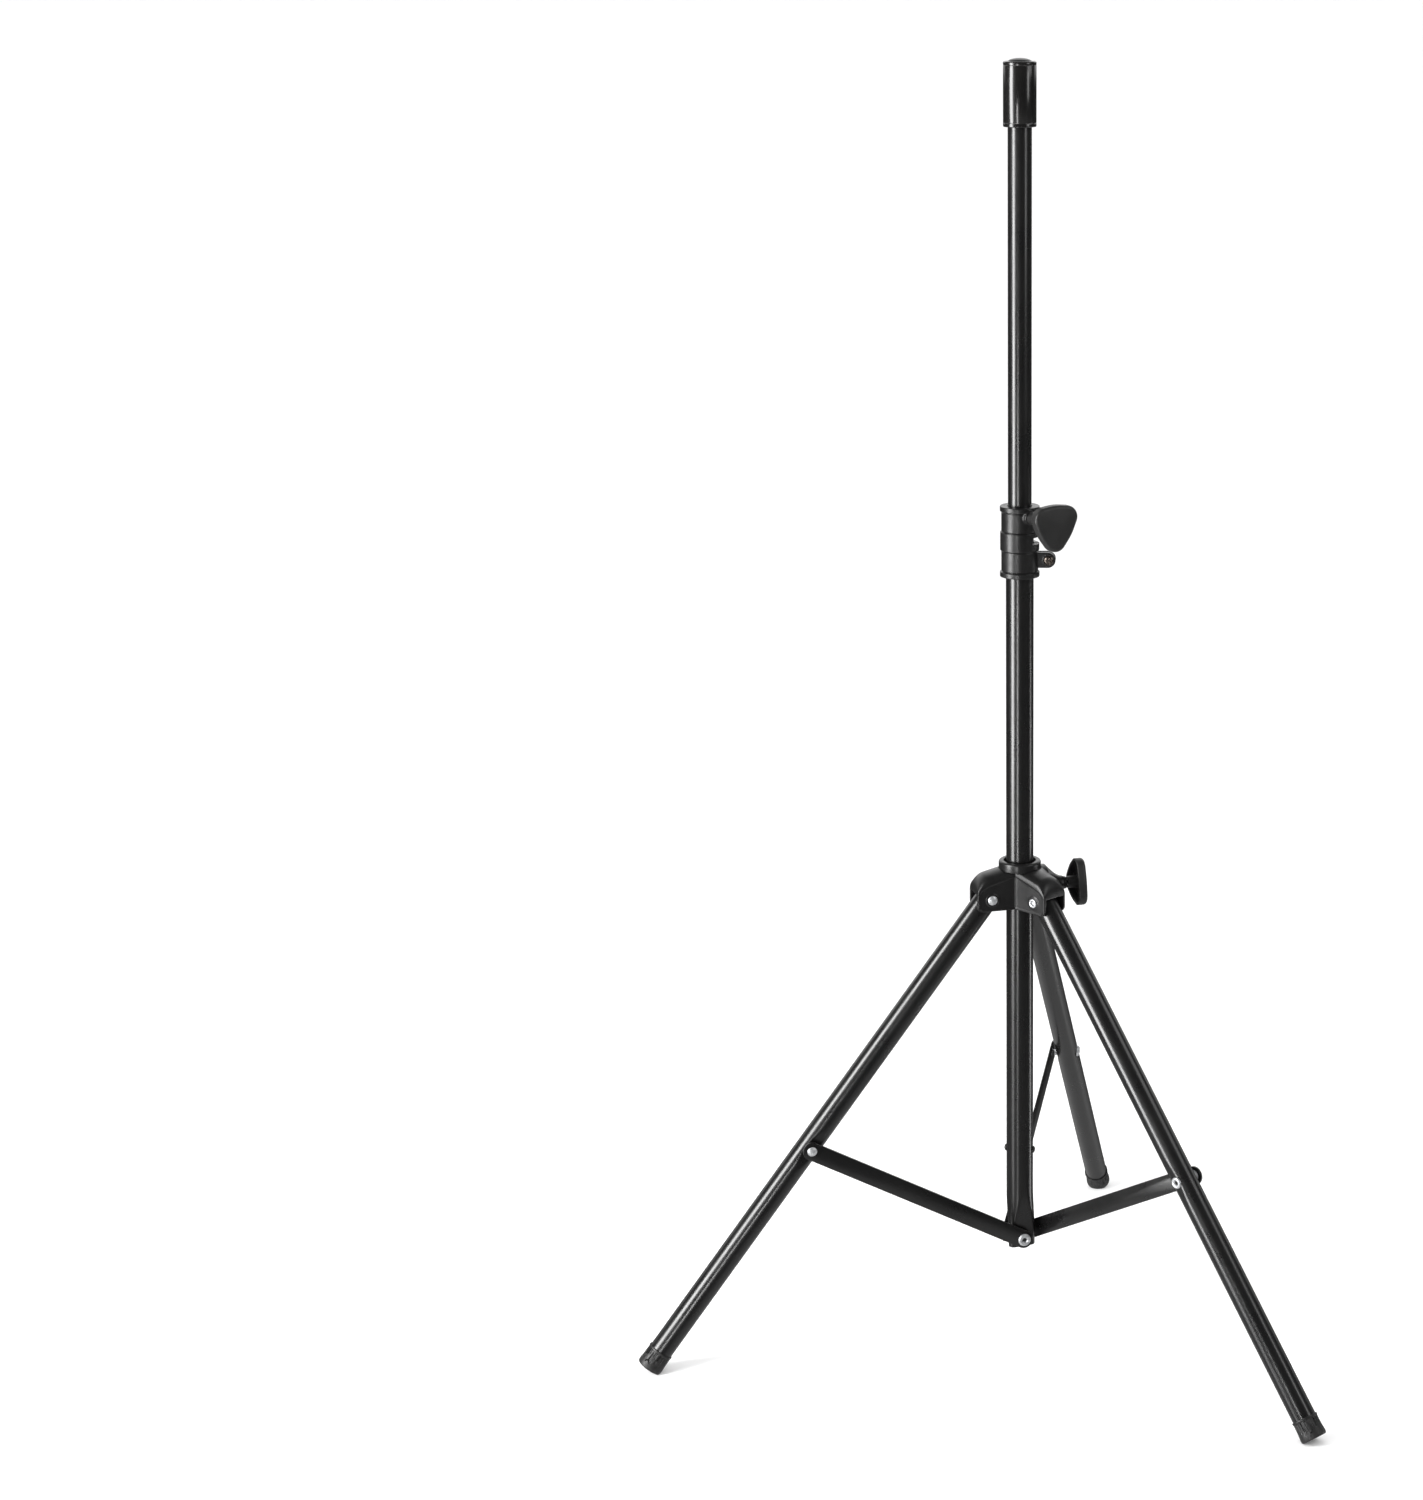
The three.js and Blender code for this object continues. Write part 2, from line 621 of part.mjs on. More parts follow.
// Height of an arm's roof: level near the mast, then rounded down to the open end.
function roofHeight(reach, innerZ, drop, cornerStart) {
  const slope = drop / (ARM_END - PIVOT_REACH + ARM_ROOT);
  const straight = innerZ - slope * (reach - ARM_ROOT);
  const corner = Math.max(reach - cornerStart, 0) / (ARM_END + 0.2 - cornerStart);
  const fall = 1 - Math.sqrt(Math.max(1 - corner * corner, 0));
  return straight - fall * (straight - MOUTH_TOP - 1);
}

// Height of an arm's underside, which turns up at the open end.
function undersideHeight(reach) {
  const over = Math.max(reach - ARM_END + CHEEK_CORNER, 0);
  return HUB_BOTTOM + CHEEK_CORNER - Math.sqrt(CHEEK_CORNER ** 2 - over ** 2);
}

// Cross-section of an arm: two cheeks with a low vault over them.
function armLoop(reach) {
  const lip = roofHeight(reach, LIP_INNER_Z, LIP_DROP, LIP_CORNER);
  const ridge = roofHeight(reach, RIDGE_INNER_Z, RIDGE_DROP, RIDGE_CORNER);
  const underside = undersideHeight(reach);
  const steps = CURVE_STEPS;
  const loop = [
    new THREE.Vector3(reach, ARM_HALF_WIDTH, underside),
    new THREE.Vector3(reach, -ARM_HALF_WIDTH, underside),
  ];
  for (let i = 0; i <= steps; i += 1) {
    const angle = Math.PI * (i / steps);
    const y = -ARM_HALF_WIDTH * Math.cos(angle);
    loop.push(new THREE.Vector3(reach, y, lip + (ridge - lip) * Math.sin(angle)));
  }
  return loop.reverse();
}

function hubArm() {
  const stations = [0, ARM_ROOT, LIP_CORNER, 43, 47, 50, 52, ARM_END];
  const arm = loft(stations.map((reach) => armLoop(reach)));
  const width = SLOT_HALF_WIDTH;
  const top = alongY(rod(SLOT_RADIUS, -width, width, ROUND)).translate(PIVOT_REACH, 0, 0);
  const throat = box(PIVOT_REACH - SLOT_RADIUS, ARM_END + 5, -width, width, HUB_BOTTOM - 5, MOUTH_TOP);
  const hole = alongY(rod(RIVET_RADIUS + GAP, -2 * width, 2 * width)).translate(PIVOT_REACH, 0, 0);
  return { arm, tools: [top, throat, hole] };
}

// Flared web over the knob's boss, which runs up to the collar between two arms.
function bossWeb() {
  const profile = [[0, MAST_RADIUS + 1], [WEB_RADIUS, MAST_RADIUS + 1]];
  for (let i = 0; i <= CURVE_STEPS; i += 1) {
    const share = i / CURVE_STEPS;
    const grown = (WEB_RADIUS - WEB_TIP_RADIUS) * (1 - share) ** WEB_CURVE;
    profile.push([WEB_TIP_RADIUS + grown, WEB_START + share * (WEB_END - WEB_START)]);
  }
  profile.push([0, WEB_END]);
  const below = box(0, 2 * ARM_END, -ARM_END, ARM_END, -ARM_END, -WEB_SKIRT);
  return cut(alongX(turned(profile)), below);
}

function hubBracket(armAzimuths, knobAzimuth) {
  const core = rod(HUB_CORE_RADIUS, HUB_BOTTOM, COLLAR_BOTTOM - GAP, ROUND);
  const arms = [];
  const far = 2 * ARM_END;
  const tools = [
    rod(MAST_RADIUS + 0.6, -far, far, ROUND),
    rod(BUSH_RADIUS + GAP, BUSH_BOTTOM - GAP, far, ROUND),
  ];
  for (const azimuth of armAzimuths) {
    const { arm, tools: slots } = hubArm();
    arms.push(arm.rotateZ(azimuth * DEGREE));
    tools.push(...slots.map((slot) => slot.rotateZ(azimuth * DEGREE)));
  }
  const boss = alongX(turned([
    [0, MAST_RADIUS + 1],
    [HUB_BOSS_RADIUS, MAST_RADIUS + 1],
    [HUB_BOSS_RADIUS - 3, HUB_BOSS_END - 19],
    [HUB_BOSS_RADIUS - 5.5, HUB_BOSS_END - 9],
    [HUB_BOSS_RADIUS - 6.3, HUB_BOSS_END - 1],
    [HUB_BOSS_RADIUS - 6.9, HUB_BOSS_END],
    [0, HUB_BOSS_END],
  ], SMALL_ROUND));
  const web = bossWeb();
  for (const solid of [boss, web]) {
    solid.rotateZ(knobAzimuth * DEGREE).translate(0, 0, HUB_KNOB_Z);
  }
  tools.push(box(-far, far, -far, far, -far, HUB_BOTTOM));
  tools.push(rod(COLLAR_RADIUS + GAP, COLLAR_BOTTOM - GAP, far, ROUND));
  tools.push(...knobHole(knobAzimuth, HUB_KNOB_Z, HUB_NUT_START));
  return cut(join(core, boss, web, ...arms), ...tools);
}

// Nylon bush: the rounded ring on top of the hub, and the short sleeve that guides it.
function hubBush() {
  const inner = MAST_RADIUS + BUSH_CLEARANCE;
  const ledge = (COLLAR_BOTTOM + COLLAR_TOP) / 2 - 1.6;
  return turned([
    [inner, BUSH_BOTTOM],
    [BUSH_RADIUS, BUSH_BOTTOM],
    [BUSH_RADIUS, COLLAR_BOTTOM],
    [COLLAR_RADIUS - 0.6, COLLAR_BOTTOM],
    [COLLAR_RADIUS, COLLAR_BOTTOM + 0.6],
    [COLLAR_RADIUS, COLLAR_TOP - 2.6],
    [COLLAR_RADIUS - 1, COLLAR_TOP - 0.7],
    [COLLAR_RADIUS - 2.8, COLLAR_TOP],
    [BUSH_COUNTERBORE + 1, COLLAR_TOP],
    [BUSH_COUNTERBORE, COLLAR_TOP - 1.2],
    [BUSH_COUNTERBORE, ledge],
    [inner, ledge],
    [inner, BUSH_BOTTOM],
  ]);
}

// Rivet across an arm: a dome at +Y and a rolled ring at -Y.
function pivotRivet() {
  const seat = ARM_HALF_WIDTH + GAP;
  const ring = rolledEnd(seat, RIVET_HEAD_RADIUS).map(([radius, z]) => [radius, -z]);
  return alongY(turned([...ring, ...domeHead(seat)], SMALL_ROUND));
}

// ---- Legs -------------------------------------------------------------------------------------

// A leg's frame: the pivot is its origin, the tube runs down -Z, and +Y is the brace's side.
function legLoop(z, radius, shrink) {
  const away = Math.min(Math.abs(z + BRACE_REACH_ON_LEG) / LEG_FLAT_HALF_LENGTH, 1);
  const blend = away * away * (3 - 2 * away);
  const flat = LEG_FLAT_DISTANCE + (LEG_RADIUS - LEG_FLAT_DISTANCE) * blend - shrink;
  const dimple = LEG_DIMPLE_DISTANCE + (LEG_RADIUS - LEG_DIMPLE_DISTANCE) * blend - shrink;
  const loop = [];
  for (let i = 0; i < ROUND; i += 1) {
    const angle = ((i + 0.5) / ROUND) * 2 * Math.PI;
    const y = Math.max(Math.min(radius * Math.sin(angle), flat), -dimple);
    loop.push(new THREE.Vector3(radius * Math.cos(angle), y, z));
  }
  return loop;
}

function legTube() {
  const end = -LEG_LENGTH + FOOT_FLOOR + GAP;
  const steps = [-1, -0.6, -0.2, 0.2, 0.6, 1];
  const middle = steps.map((s) => -BRACE_REACH_ON_LEG + s * LEG_FLAT_HALF_LENGTH);
  const inner = LEG_RADIUS - LEG_WALL;
  const outside = [end, ...middle, LEG_TOP_END].map((z) => legLoop(z, LEG_RADIUS, 0));
  const inside = [end - 1, ...middle, LEG_TOP_END + 1].map((z) => legLoop(z, inner, LEG_WALL));
  const pivotHole = alongY(rod(RIVET_RADIUS + GAP, -2 * LEG_RADIUS, 2 * LEG_RADIUS));
  const braceHole = pivotHole.clone().translate(0, 0, -BRACE_REACH_ON_LEG);
  return cut(loft(outside), loft(inside), pivotHole, braceHole);
}

// Plug in the leg's upper end, short enough to clear the pivot rivet.
function legPlug() {
  const inner = LEG_RADIUS - LEG_WALL - GAP;
  return turned([
    [0, RIVET_RADIUS + 1],
    [inner, RIVET_RADIUS + 1],
    [inner, LEG_TOP_END - 1],
    [0, LEG_TOP_END - 1],
  ]);
}

// Rubber cup on the leg's lower end, worn flat where it meets the floor.
function foot() {
  const bottom = -LEG_LENGTH;
  const bore = LEG_RADIUS + GAP;
  const edge = FOOT_EDGE_RADIUS;
  const profile = [[0, bottom]];
  for (let i = 0; i <= 3; i += 1) {
    const angle = (i / 3 - 1) * 90 * DEGREE;
    const radius = FOOT_RADIUS - edge + edge * Math.cos(angle);
    profile.push([radius, bottom + edge + edge * Math.sin(angle)]);
  }
  profile.push([FOOT_RADIUS, bottom + FOOT_LENGTH - 1]);
  profile.push([FOOT_RADIUS - 0.4, bottom + FOOT_LENGTH]);
  profile.push([bore, bottom + FOOT_LENGTH]);
  profile.push([bore, bottom + FOOT_FLOOR]);
  profile.push([0, bottom + FOOT_FLOOR]);
  const floor = box(-80, 80, -40, 40, -HUB_Z - 40, -HUB_Z);
  floor.translate(LEG_LENGTH * Math.sin(LEG_SPREAD * DEGREE), 0, 0);
  floor.rotateY(LEG_SPREAD * DEGREE);
  return cut(turned(profile), floor);
}

// Rivet through the leg at the brace: its rolled end is at -Y, and it ends flush under the bar.
function legBraceRivet() {
  const seat = LEG_DIMPLE_DISTANCE + GAP;
  const end = BRACE_INNER_FACE - GAP;
  const ring = rolledEnd(seat, LEG_RING_RADIUS).map(([radius, z]) => [radius, -z]);
  const rivet = alongY(turned([...ring, [RIVET_RADIUS, end], [0, end]], SMALL_ROUND));
  return rivet.translate(0, 0, -BRACE_REACH_ON_LEG);
}

function washer(start, end) {
  return pipe(RIVET_RADIUS + GAP, WASHER_RADIUS, start, end, SMALL_ROUND);
}

// ---- Braces -----------------------------------------------------------------------------------

// A brace's frame: the mast-side pivot is its origin and the bar runs along +X.
function braceBar(length) {
  const outline = new THREE.Shape();
  outline.absarc(0, 0, BRACE_HALF_WIDTH, Math.PI / 2, Math.PI * 1.5, false);
  outline.absarc(length, 0, BRACE_HALF_WIDTH, -Math.PI / 2, Math.PI / 2, false);
  for (const x of [0, length]) {
    const hole = new THREE.Path();
    hole.absarc(x, 0, RIVET_RADIUS + GAP, 0, 2 * Math.PI, true);
    outline.holes.push(hole);
  }
  const bar = new THREE.ExtrudeGeometry(outline, {
    depth: BRACE_THICKNESS,
    bevelEnabled: false,
    curveSegments: CURVE_STEPS,
  });
  return bar.rotateX(Math.PI / 2).translate(0, BRACE_INNER_FACE + BRACE_THICKNESS, 0);
}

// Domed head of the rivet that ties the bar to its leg, with the shank that fills the bar's hole.
function braceRivetHead() {
  const seat = BRACE_INNER_FACE + BRACE_THICKNESS + GAP;
  const shank = [[0, BRACE_INNER_FACE], [RIVET_RADIUS, BRACE_INNER_FACE]];
  return turned([...shank, ...domeHead(seat)], SMALL_ROUND);
}

// ---- The whole stand --------------------------------------------------------------------------

const firstFlat = FIRST_LEG_AZIMUTH + 90;
const legAzimuths = [0, 120, 240].map((turn) => FIRST_LEG_AZIMUTH + turn);
const hubKnobAzimuth = FIRST_LEG_AZIMUTH + 180;
const spread = LEG_SPREAD * DEGREE;
const braceRun = PIVOT_REACH + BRACE_REACH_ON_LEG * Math.sin(spread);
const braceRise = HUB_Z - BRACE_REACH_ON_LEG * Math.cos(spread) - BRACE_PIVOT_Z;
const braceLength = Math.hypot(braceRun, braceRise);

place(group, 'mast_tube', mastTube(firstFlat), gloss_paint());
place(group, 'mast_foot_plug', mastPlug(firstFlat), black_plastic());
place(turnedGroup(group, firstFlat + PIN_TURN, STOP_PIN_Z), 'pole_stop_pin', stopPin(), black_plastic());

const poleTop = SLEEVE_TOP - POLE_END_DEPTH;
place(group, 'pole_tube', pipe(POLE_RADIUS - POLE_WALL, POLE_RADIUS, POLE_BOTTOM, poleTop), gloss_paint());
place(group, 'pole_sleeve', sleeve(), turned_black());
place(group, 'pole_cap', sleeveCap(), black_plastic());
place(group, 'pole_foot_bush', poleFootBush(), nylon());

place(group, 'clamp_body', clampBody(), black_plastic());
place(group, 'clamp_bush', clampBush(), nylon());
const clampKnob = turnedGroup(group, CLAMP_KNOB_AZIMUTH, CLAMP_KNOB_Z);
place(clampKnob, 'clamp_nut', studNut(CLAMP_NUT_START), zinc());
addKnob(clampKnob, 'clamp_knob', CLAMP_KNOB_FACE, CLAMP_BOSS_END, POLE_RADIUS + GAP, 0);
const ears = turnedGroup(group, EAR_AZIMUTH, EAR_Z);
const towardsFront = pinchScrew().rotateX(Math.PI / 2).translate(PINCH_SCREW_REACH, 0, 0);
place(ears, 'pinch_screw', towardsFront, nickel());
const nutStart = EAR_GAP / 2 + EAR_THICKNESS + GAP;
const pinchNut = alongY(nut(PINCH_NUT_RADIUS, PINCH_SCREW_RADIUS + GAP, nutStart, PINCH_NUT_THICKNESS));
place(ears, 'pinch_nut', pinchNut.translate(PINCH_SCREW_REACH, 0, 0), zinc());

const hub = turnedGroup(group, 0, HUB_Z);
place(hub, 'hub_bracket', hubBracket(legAzimuths, hubKnobAzimuth), black_plastic());
place(hub, 'hub_bush', hubBush(), nylon());
const hubKnob = turnedGroup(hub, hubKnobAzimuth, HUB_KNOB_Z);
place(hubKnob, 'hub_nut', studNut(HUB_NUT_START), zinc());
addKnob(hubKnob, 'hub_knob', HUB_KNOB_FACE, HUB_BOSS_END, MAST_RADIUS + GAP, HUB_KNOB_TURN);

legAzimuths.forEach((azimuth, index) => {
  const number = index + 1;
  const side = turnedGroup(group, azimuth);
  const pivot = new THREE.Group();
  pivot.position.set(PIVOT_REACH, 0, HUB_Z);
  side.add(pivot);
  place(pivot, `leg_pivot_rivet_${number}`, pivotRivet(), zinc());

  const leg = new THREE.Group();
  leg.rotation.y = -spread;
  pivot.add(leg);
  place(leg, `leg_tube_${number}`, legTube(), gloss_paint());
  place(leg, `leg_plug_${number}`, legPlug(), black_plastic());
  place(leg, `leg_foot_${number}`, foot(), rubber());
  place(leg, `leg_brace_rivet_${number}`, legBraceRivet(), zinc());
  const legWasher = alongY(washer(LEG_FLAT_DISTANCE + GAP, BRACE_INNER_FACE - GAP));
  place(leg, `leg_washer_${number}`, legWasher.translate(0, 0, -BRACE_REACH_ON_LEG), zinc());

  const brace = new THREE.Group();
  brace.position.z = BRACE_PIVOT_Z;
  side.add(brace);
  const mastWasher = alongY(washer(FLAT_DISTANCE + GAP, BRACE_INNER_FACE - GAP));
  place(brace, `mast_washer_${number}`, mastWasher, zinc());
  place(brace, `mast_brace_rivet_${number}`, alongY(mastBraceRivet()), zinc());

  const bar = new THREE.Group();
  bar.rotation.y = -Math.atan2(braceRise, braceRun);
  brace.add(bar);
  place(bar, `brace_bar_${number}`, braceBar(braceLength), gloss_paint());
  const head = alongY(braceRivetHead()).translate(braceLength, 0, 0);
  place(bar, `brace_rivet_head_${number}`, head, zinc());
});

export default group;
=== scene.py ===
"""Looks of a loudspeaker tripod stand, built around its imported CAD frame. Shapes are in
millimetres in the frame's own axes until a mesh is made, which turns them into metres."""

import json
from math import asin, atan2, cos, pi, radians, sin

import bpy
import numpy as np
from mathutils import Matrix, Vector


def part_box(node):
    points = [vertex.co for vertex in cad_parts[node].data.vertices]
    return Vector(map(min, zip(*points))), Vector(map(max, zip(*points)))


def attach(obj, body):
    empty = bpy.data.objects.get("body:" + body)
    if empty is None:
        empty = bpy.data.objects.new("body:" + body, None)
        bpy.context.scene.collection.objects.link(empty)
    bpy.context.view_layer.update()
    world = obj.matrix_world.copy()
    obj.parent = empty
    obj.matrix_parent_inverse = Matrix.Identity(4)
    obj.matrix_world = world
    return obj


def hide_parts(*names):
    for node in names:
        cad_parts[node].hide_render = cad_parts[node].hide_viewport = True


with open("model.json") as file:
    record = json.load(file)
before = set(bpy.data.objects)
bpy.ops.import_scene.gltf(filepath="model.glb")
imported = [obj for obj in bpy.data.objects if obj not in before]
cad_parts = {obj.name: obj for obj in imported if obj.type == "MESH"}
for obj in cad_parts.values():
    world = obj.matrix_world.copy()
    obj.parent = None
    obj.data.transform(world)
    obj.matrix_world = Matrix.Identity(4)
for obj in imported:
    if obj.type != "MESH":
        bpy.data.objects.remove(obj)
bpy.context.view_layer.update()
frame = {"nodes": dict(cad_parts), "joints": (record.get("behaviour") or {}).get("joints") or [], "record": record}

MM = 0.001
IN_PLACE = Matrix.Scale(MM, 4)
ROUND = 96
SMALL_ROUND = 48
SHARP_ANGLE = radians(50)

# Driving sizes, in millimetres
MAST_RADIUS = 15.0
MAST_WALL = 1.5
FORMED_LENGTH = 72.0
STRAIGHT_LENGTH = 10.0
FLAT_DISTANCE = 11.2
CORNER_REACH = 17.0
POLE_RADIUS = 12.7
POLE_WALL = 1.5
LEG_RADIUS = 13.2
LEG_WALL = 1.2
LEG_FLAT = 11.2
LEG_DIMPLE = 12.6
LEG_FLAT_HALF_LENGTH = 30.0
LEG_PLUG_RADIUS = 10.9
FOOT_RADIUS = 14.5
FOOT_LENGTH = 24.0
FOOT_SOLE = 4.0
FOOT_LIP = 2.6
SLIT_AZIMUTH = radians(-60)
BRACE_HALF_WIDTH = 10.2
CAP_RADIUS = 12.3
CAP_SHANK_RADIUS = 11.0
CAP_SHANK_LENGTH = 20.0
STOP_PIN_TURN = radians(60)
RIVET_RADIUS = 3.0
HOLE_CLEARANCE = 0.3
RING_HOLLOW = 2.3
HUB_RING_RADIUS = 5.2
LEG_RING_RADIUS = 6.4
MAST_RING_RADIUS = 7.2
WASHER_RADIUS = 7.0

# Hub: heights are from the leg pivots
ARM_HALF_WIDTH = 17.0
ARM_END = 53.0
ARM_ROOT = 20.0
ROOF_RUN = 37.0
LIP = (23.9, 10.3, 38.0)
RIDGE = (32.3, 8.9, 40.0)
SLOT_HALF_WIDTH = 13.5
SLOT_RADIUS = 15.9
MOUTH_TOP = 6.0
HUB_BOTTOM = -13.0
HUB_CORE_RADIUS = 19.6
CHEEK_CORNER = 6.0
CHEEK_RECESS = 0.7
CHEEK_BORDER = 2.2
RIVET_PAD_RADIUS = 7.4
COLLAR_RADIUS = 23.3
COLLAR_SEAT = 29.0
COLLAR_MOUTH_RADIUS = 17.6
COLLAR_MOUTH_DEPTH = 6.2
BUSH_RADIUS = 17.2
BUSH_BOTTOM = 20.0
HUB_BOSS_RADIUS = 13.5
HUB_BOSS_TIP = 7.0
HUB_BOSS_START = 16.0
HUB_BOSS_CURVE = 1.1
WEB_RADIUS = 22.8
WEB_TIP_RADIUS = 6.8
WEB_REACH = (29.0, 48.0)
WEB_CURVE = 1.3
WEB_SOFTNESS = 1.4
WEB_SKIRT = 1.2
STUD_RADIUS = 3.0
STUD_HOLE_START = 5.0

# Clamp: heights are from its bottom
CLAMP_RADIUS = 19.9
FLANGE_RADIUS = 21.4
FLANGE_HEIGHT = 5.6
BAND_RADIUS = 21.1
BAND = (28.9, 49.0)
RELIEF_SLOT = (36.5, 44.0)
RELIEF_SLOT_START = 14.5
CLAMP_BOSS_RADIUS = 7.0
CLAMP_BOSS_END = 24.0
CLAMP_ROOF = 4.0
EAR_GAP = 3.0
EAR_THICKNESS = 5.0
EAR_HALF_HEIGHT = 8.4
EAR_START = 16.0
EAR_PAD = 0.4
SPLIT_START = 10.0
PINCH_HEAD_RADIUS = 5.8
PINCH_DOME_RADIUS = 7.4
PINCH_DOME_DROP = 4.6
PINCH_SHANK_PROUD = 8.0
CROSS_HALF_WIDTH = 0.95
CROSS_REACH = 3.4
PINCH_NUT_THICKNESS = 5.0
PINCH_NUT_HALF_WIDTH = 5.0
PINCH_NUT_CHAMFER = 6.8

# Knobs
KNOB_THICKNESS = 11.0
LOBE_RADIUS = 11.2
LOBE_CENTRE = 17.0
KNOB_BULGE = 2.2
KNOB_RIM = 2.6
KNOB_FACE_WALL = 3.6
KNOB_ROUNDING = 3.6
KNOB_CROWN = 0.06
STEM_RADIUS = 6.6
STEM_FLARE = 1.8
STEM_HOLE_DEPTH = 8.0
STEM_GAP = 1.5
HUB_KNOB_TURN = 75
THREAD_PITCH = 1.0
THREAD_DEPTH = 0.5


# ---- Where things are, from the frame ----

joints = {joint["name"]: joint for joint in frame["joints"]}


def joint_point(name):
    return Vector(joints[name]["pos_m"]) / MM


def joint_axis(name):
    return Vector(joints[name]["axis"])


def box_mm(node):
    low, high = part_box(node)
    return low / MM, high / MM


def centre_of(node):
    low, high = box_mm(node)
    return (low + high) / 2


def extent(node, origin, direction):
    """Lowest and highest distance of a CAD node's points from an origin, along a direction."""
    vertices = frame["nodes"][node].data.vertices
    along = [(vertex.co / MM - origin).dot(direction) for vertex in vertices]
    return min(along), max(along)


def local_frame(origin, x_axis, z_axis):
    """Matrix that takes a piece's own millimetres to the row frame's metres."""
    z = z_axis.normalized()
    x = (x_axis - z * x_axis.dot(z)).normalized()
    y = z.cross(x)
    turn = Matrix((x, y, z)).transposed().to_4x4()
    return Matrix.Translation(origin * MM) @ turn @ IN_PLACE


UP = Vector((0, 0, 1))


def azimuth_of(direction):
    return atan2(direction.y, direction.x)


def radial(azimuth):
    return Vector((cos(azimuth), sin(azimuth), 0))


# ---- Materials ----

class Nodes:
    """A node tree, with short calls for the few kinds of node that are used."""

    def __init__(self, tree):
        self.tree = tree

    def add(self, kind, inputs=None, **settings):
        """A new node. Each of its inputs is given a number, a colour or another node's output."""
        node = self.tree.nodes.new(kind)
        for key, value in settings.items():
            setattr(node, key, value)
        self.feed(node, inputs or {})
        return node

    def feed(self, node, inputs):
        for key, value in inputs.items():
            if isinstance(value, bpy.types.NodeSocket):
                self.tree.links.new(value, node.inputs[key])
            else:
                node.inputs[key].default_value = value

    def math(self, operation, a, b):
        return self.add("ShaderNodeMath", {0: a, 1: b}, operation=operation).outputs[0]

    def ramp(self, value, low, high, to_low=0.0, to_high=1.0):
        inputs = {0: value, 1: low, 2: high, 3: to_low, 4: to_high}
        return self.add("ShaderNodeMapRange", inputs, clamp=True).outputs[0]


class Graph(Nodes):
    """A material's nodes. Texture scales are per metre."""

    def __init__(self, name):
        self.material = bpy.data.materials.new(name)
        self.material.use_nodes = True
        super().__init__(self.material.node_tree)
        self.position = self.add("ShaderNodeTexCoord").outputs["Object"]

    def stretch(self, scale):
        inputs = {"Vector": self.position, "Scale": scale}
        return self.add("ShaderNodeMapping", inputs).outputs[0]

    def noise(self, scale, detail=4.0, roughness=0.55, vector=None):
        inputs = {"Vector": vector or self.position, "Scale": scale, "Detail": detail,
                  "Roughness": roughness}
        return self.add("ShaderNodeTexNoise", inputs).outputs[0]

    def cells(self, scale, feature="F1"):
        inputs = {"Vector": self.position, "Scale": scale}
        return self.add("ShaderNodeTexVoronoi", inputs, feature=feature).outputs["Distance"]

    def rings(self, scale):
        inputs = {"Vector": self.position, "Scale": scale, "Distortion": 0.3, "Detail": 2.0}
        return self.add("ShaderNodeTexWave", inputs, wave_type="BANDS",
                        bands_direction="Z").outputs["Fac"]

    def mix(self, fac, *colors):
        a, b = [color if isinstance(color, bpy.types.NodeSocket) else (*color, 1.0)
                for color in colors]
        return self.add("ShaderNodeMix", {0: fac, 6: a, 7: b}, data_type="RGBA").outputs[2]

    def tint(self, color, mask, amount, other):
        return self.mix(self.math("MULTIPLY", mask, amount), color, other)

    def plus(self, value, mask, amount):
        return self.math("ADD", value, self.math("MULTIPLY", mask, amount))

    def edges(self, radius, low=0.02, high=0.2):
        """1 on the convex and concave edges within a radius of them, in millimetres, else 0."""
        bevel = self.add("ShaderNodeBevel", {"Radius": radius * MM}, samples=4)
        normal = self.add("ShaderNodeNewGeometry").outputs["Normal"]
        dot = self.add("ShaderNodeVectorMath", {0: bevel.outputs[0], 1: normal},
                       operation="DOT_PRODUCT")
        return self.ramp(self.math("SUBTRACT", 1.0, dot.outputs["Value"]), low, high)

    def hollows(self, reach):
        """1 in the open, falling to 0 in recesses narrower than a reach, in millimetres: ambient occlusion, as a
        mask for painted shade.
        """
        shade = self.add("ShaderNodeAmbientOcclusion", {"Distance": reach * MM}, samples=8)
        return self.ramp(shade.outputs["AO"], 0.25, 0.75)

    def bump(self, *layers):
        """Each layer is a height from 0 to 1 and its depth in millimetres."""
        inputs = {}
        for height, depth in layers:
            inputs |= {"Strength": 1.0, "Distance": depth * MM, "Height": height}
            inputs["Normal"] = self.add("ShaderNodeBump", inputs).outputs[0]
        self.feed(self.tree.nodes["Principled BSDF"], {"Normal": inputs["Normal"]})

    def finish(self, color, roughness, metallic=0.0, specular=0.5, coat=0.0, coat_roughness=0.1):
        self.feed(self.tree.nodes["Principled BSDF"], {
            "Base Color": color, "Roughness": roughness, "Metallic": metallic,
            "Specular IOR Level": specular, "Coat Weight": coat,
            "Coat Roughness": coat_roughness})
        return self.material


def tube_paint():
    """Smooth black powder coat: faint orange peel, dust, handling haze and rubbed edges."""
    g = Graph("tube_paint")
    cloud = g.noise(14, 5)
    dust = g.ramp(g.cells(240), 0.07, 0.03)
    scuffs = g.ramp(g.noise(55, 6, 0.7, g.stretch((1.0, 1.0, 0.25))), 0.62, 0.78)
    black, worn_black = (0.0026, 0.0026, 0.0028), (0.0046, 0.0045, 0.0044)
    color = g.mix(g.ramp(cloud, 0.3, 0.7), black, worn_black)
    color = g.tint(color, dust, 0.08, (0.12, 0.115, 0.11))
    color = g.tint(color, g.edges(0.5), 0.35, (0.03, 0.03, 0.031))
    haze = g.ramp(g.noise(30, 4), 0.3, 0.75, 0.25, 0.34)
    g.bump((g.noise(260, 2), 0.0035), (g.noise(1500, 2), 0.0006))
    return g.finish(color, g.plus(haze, scuffs, 0.08), coat=0.35, coat_roughness=0.16)


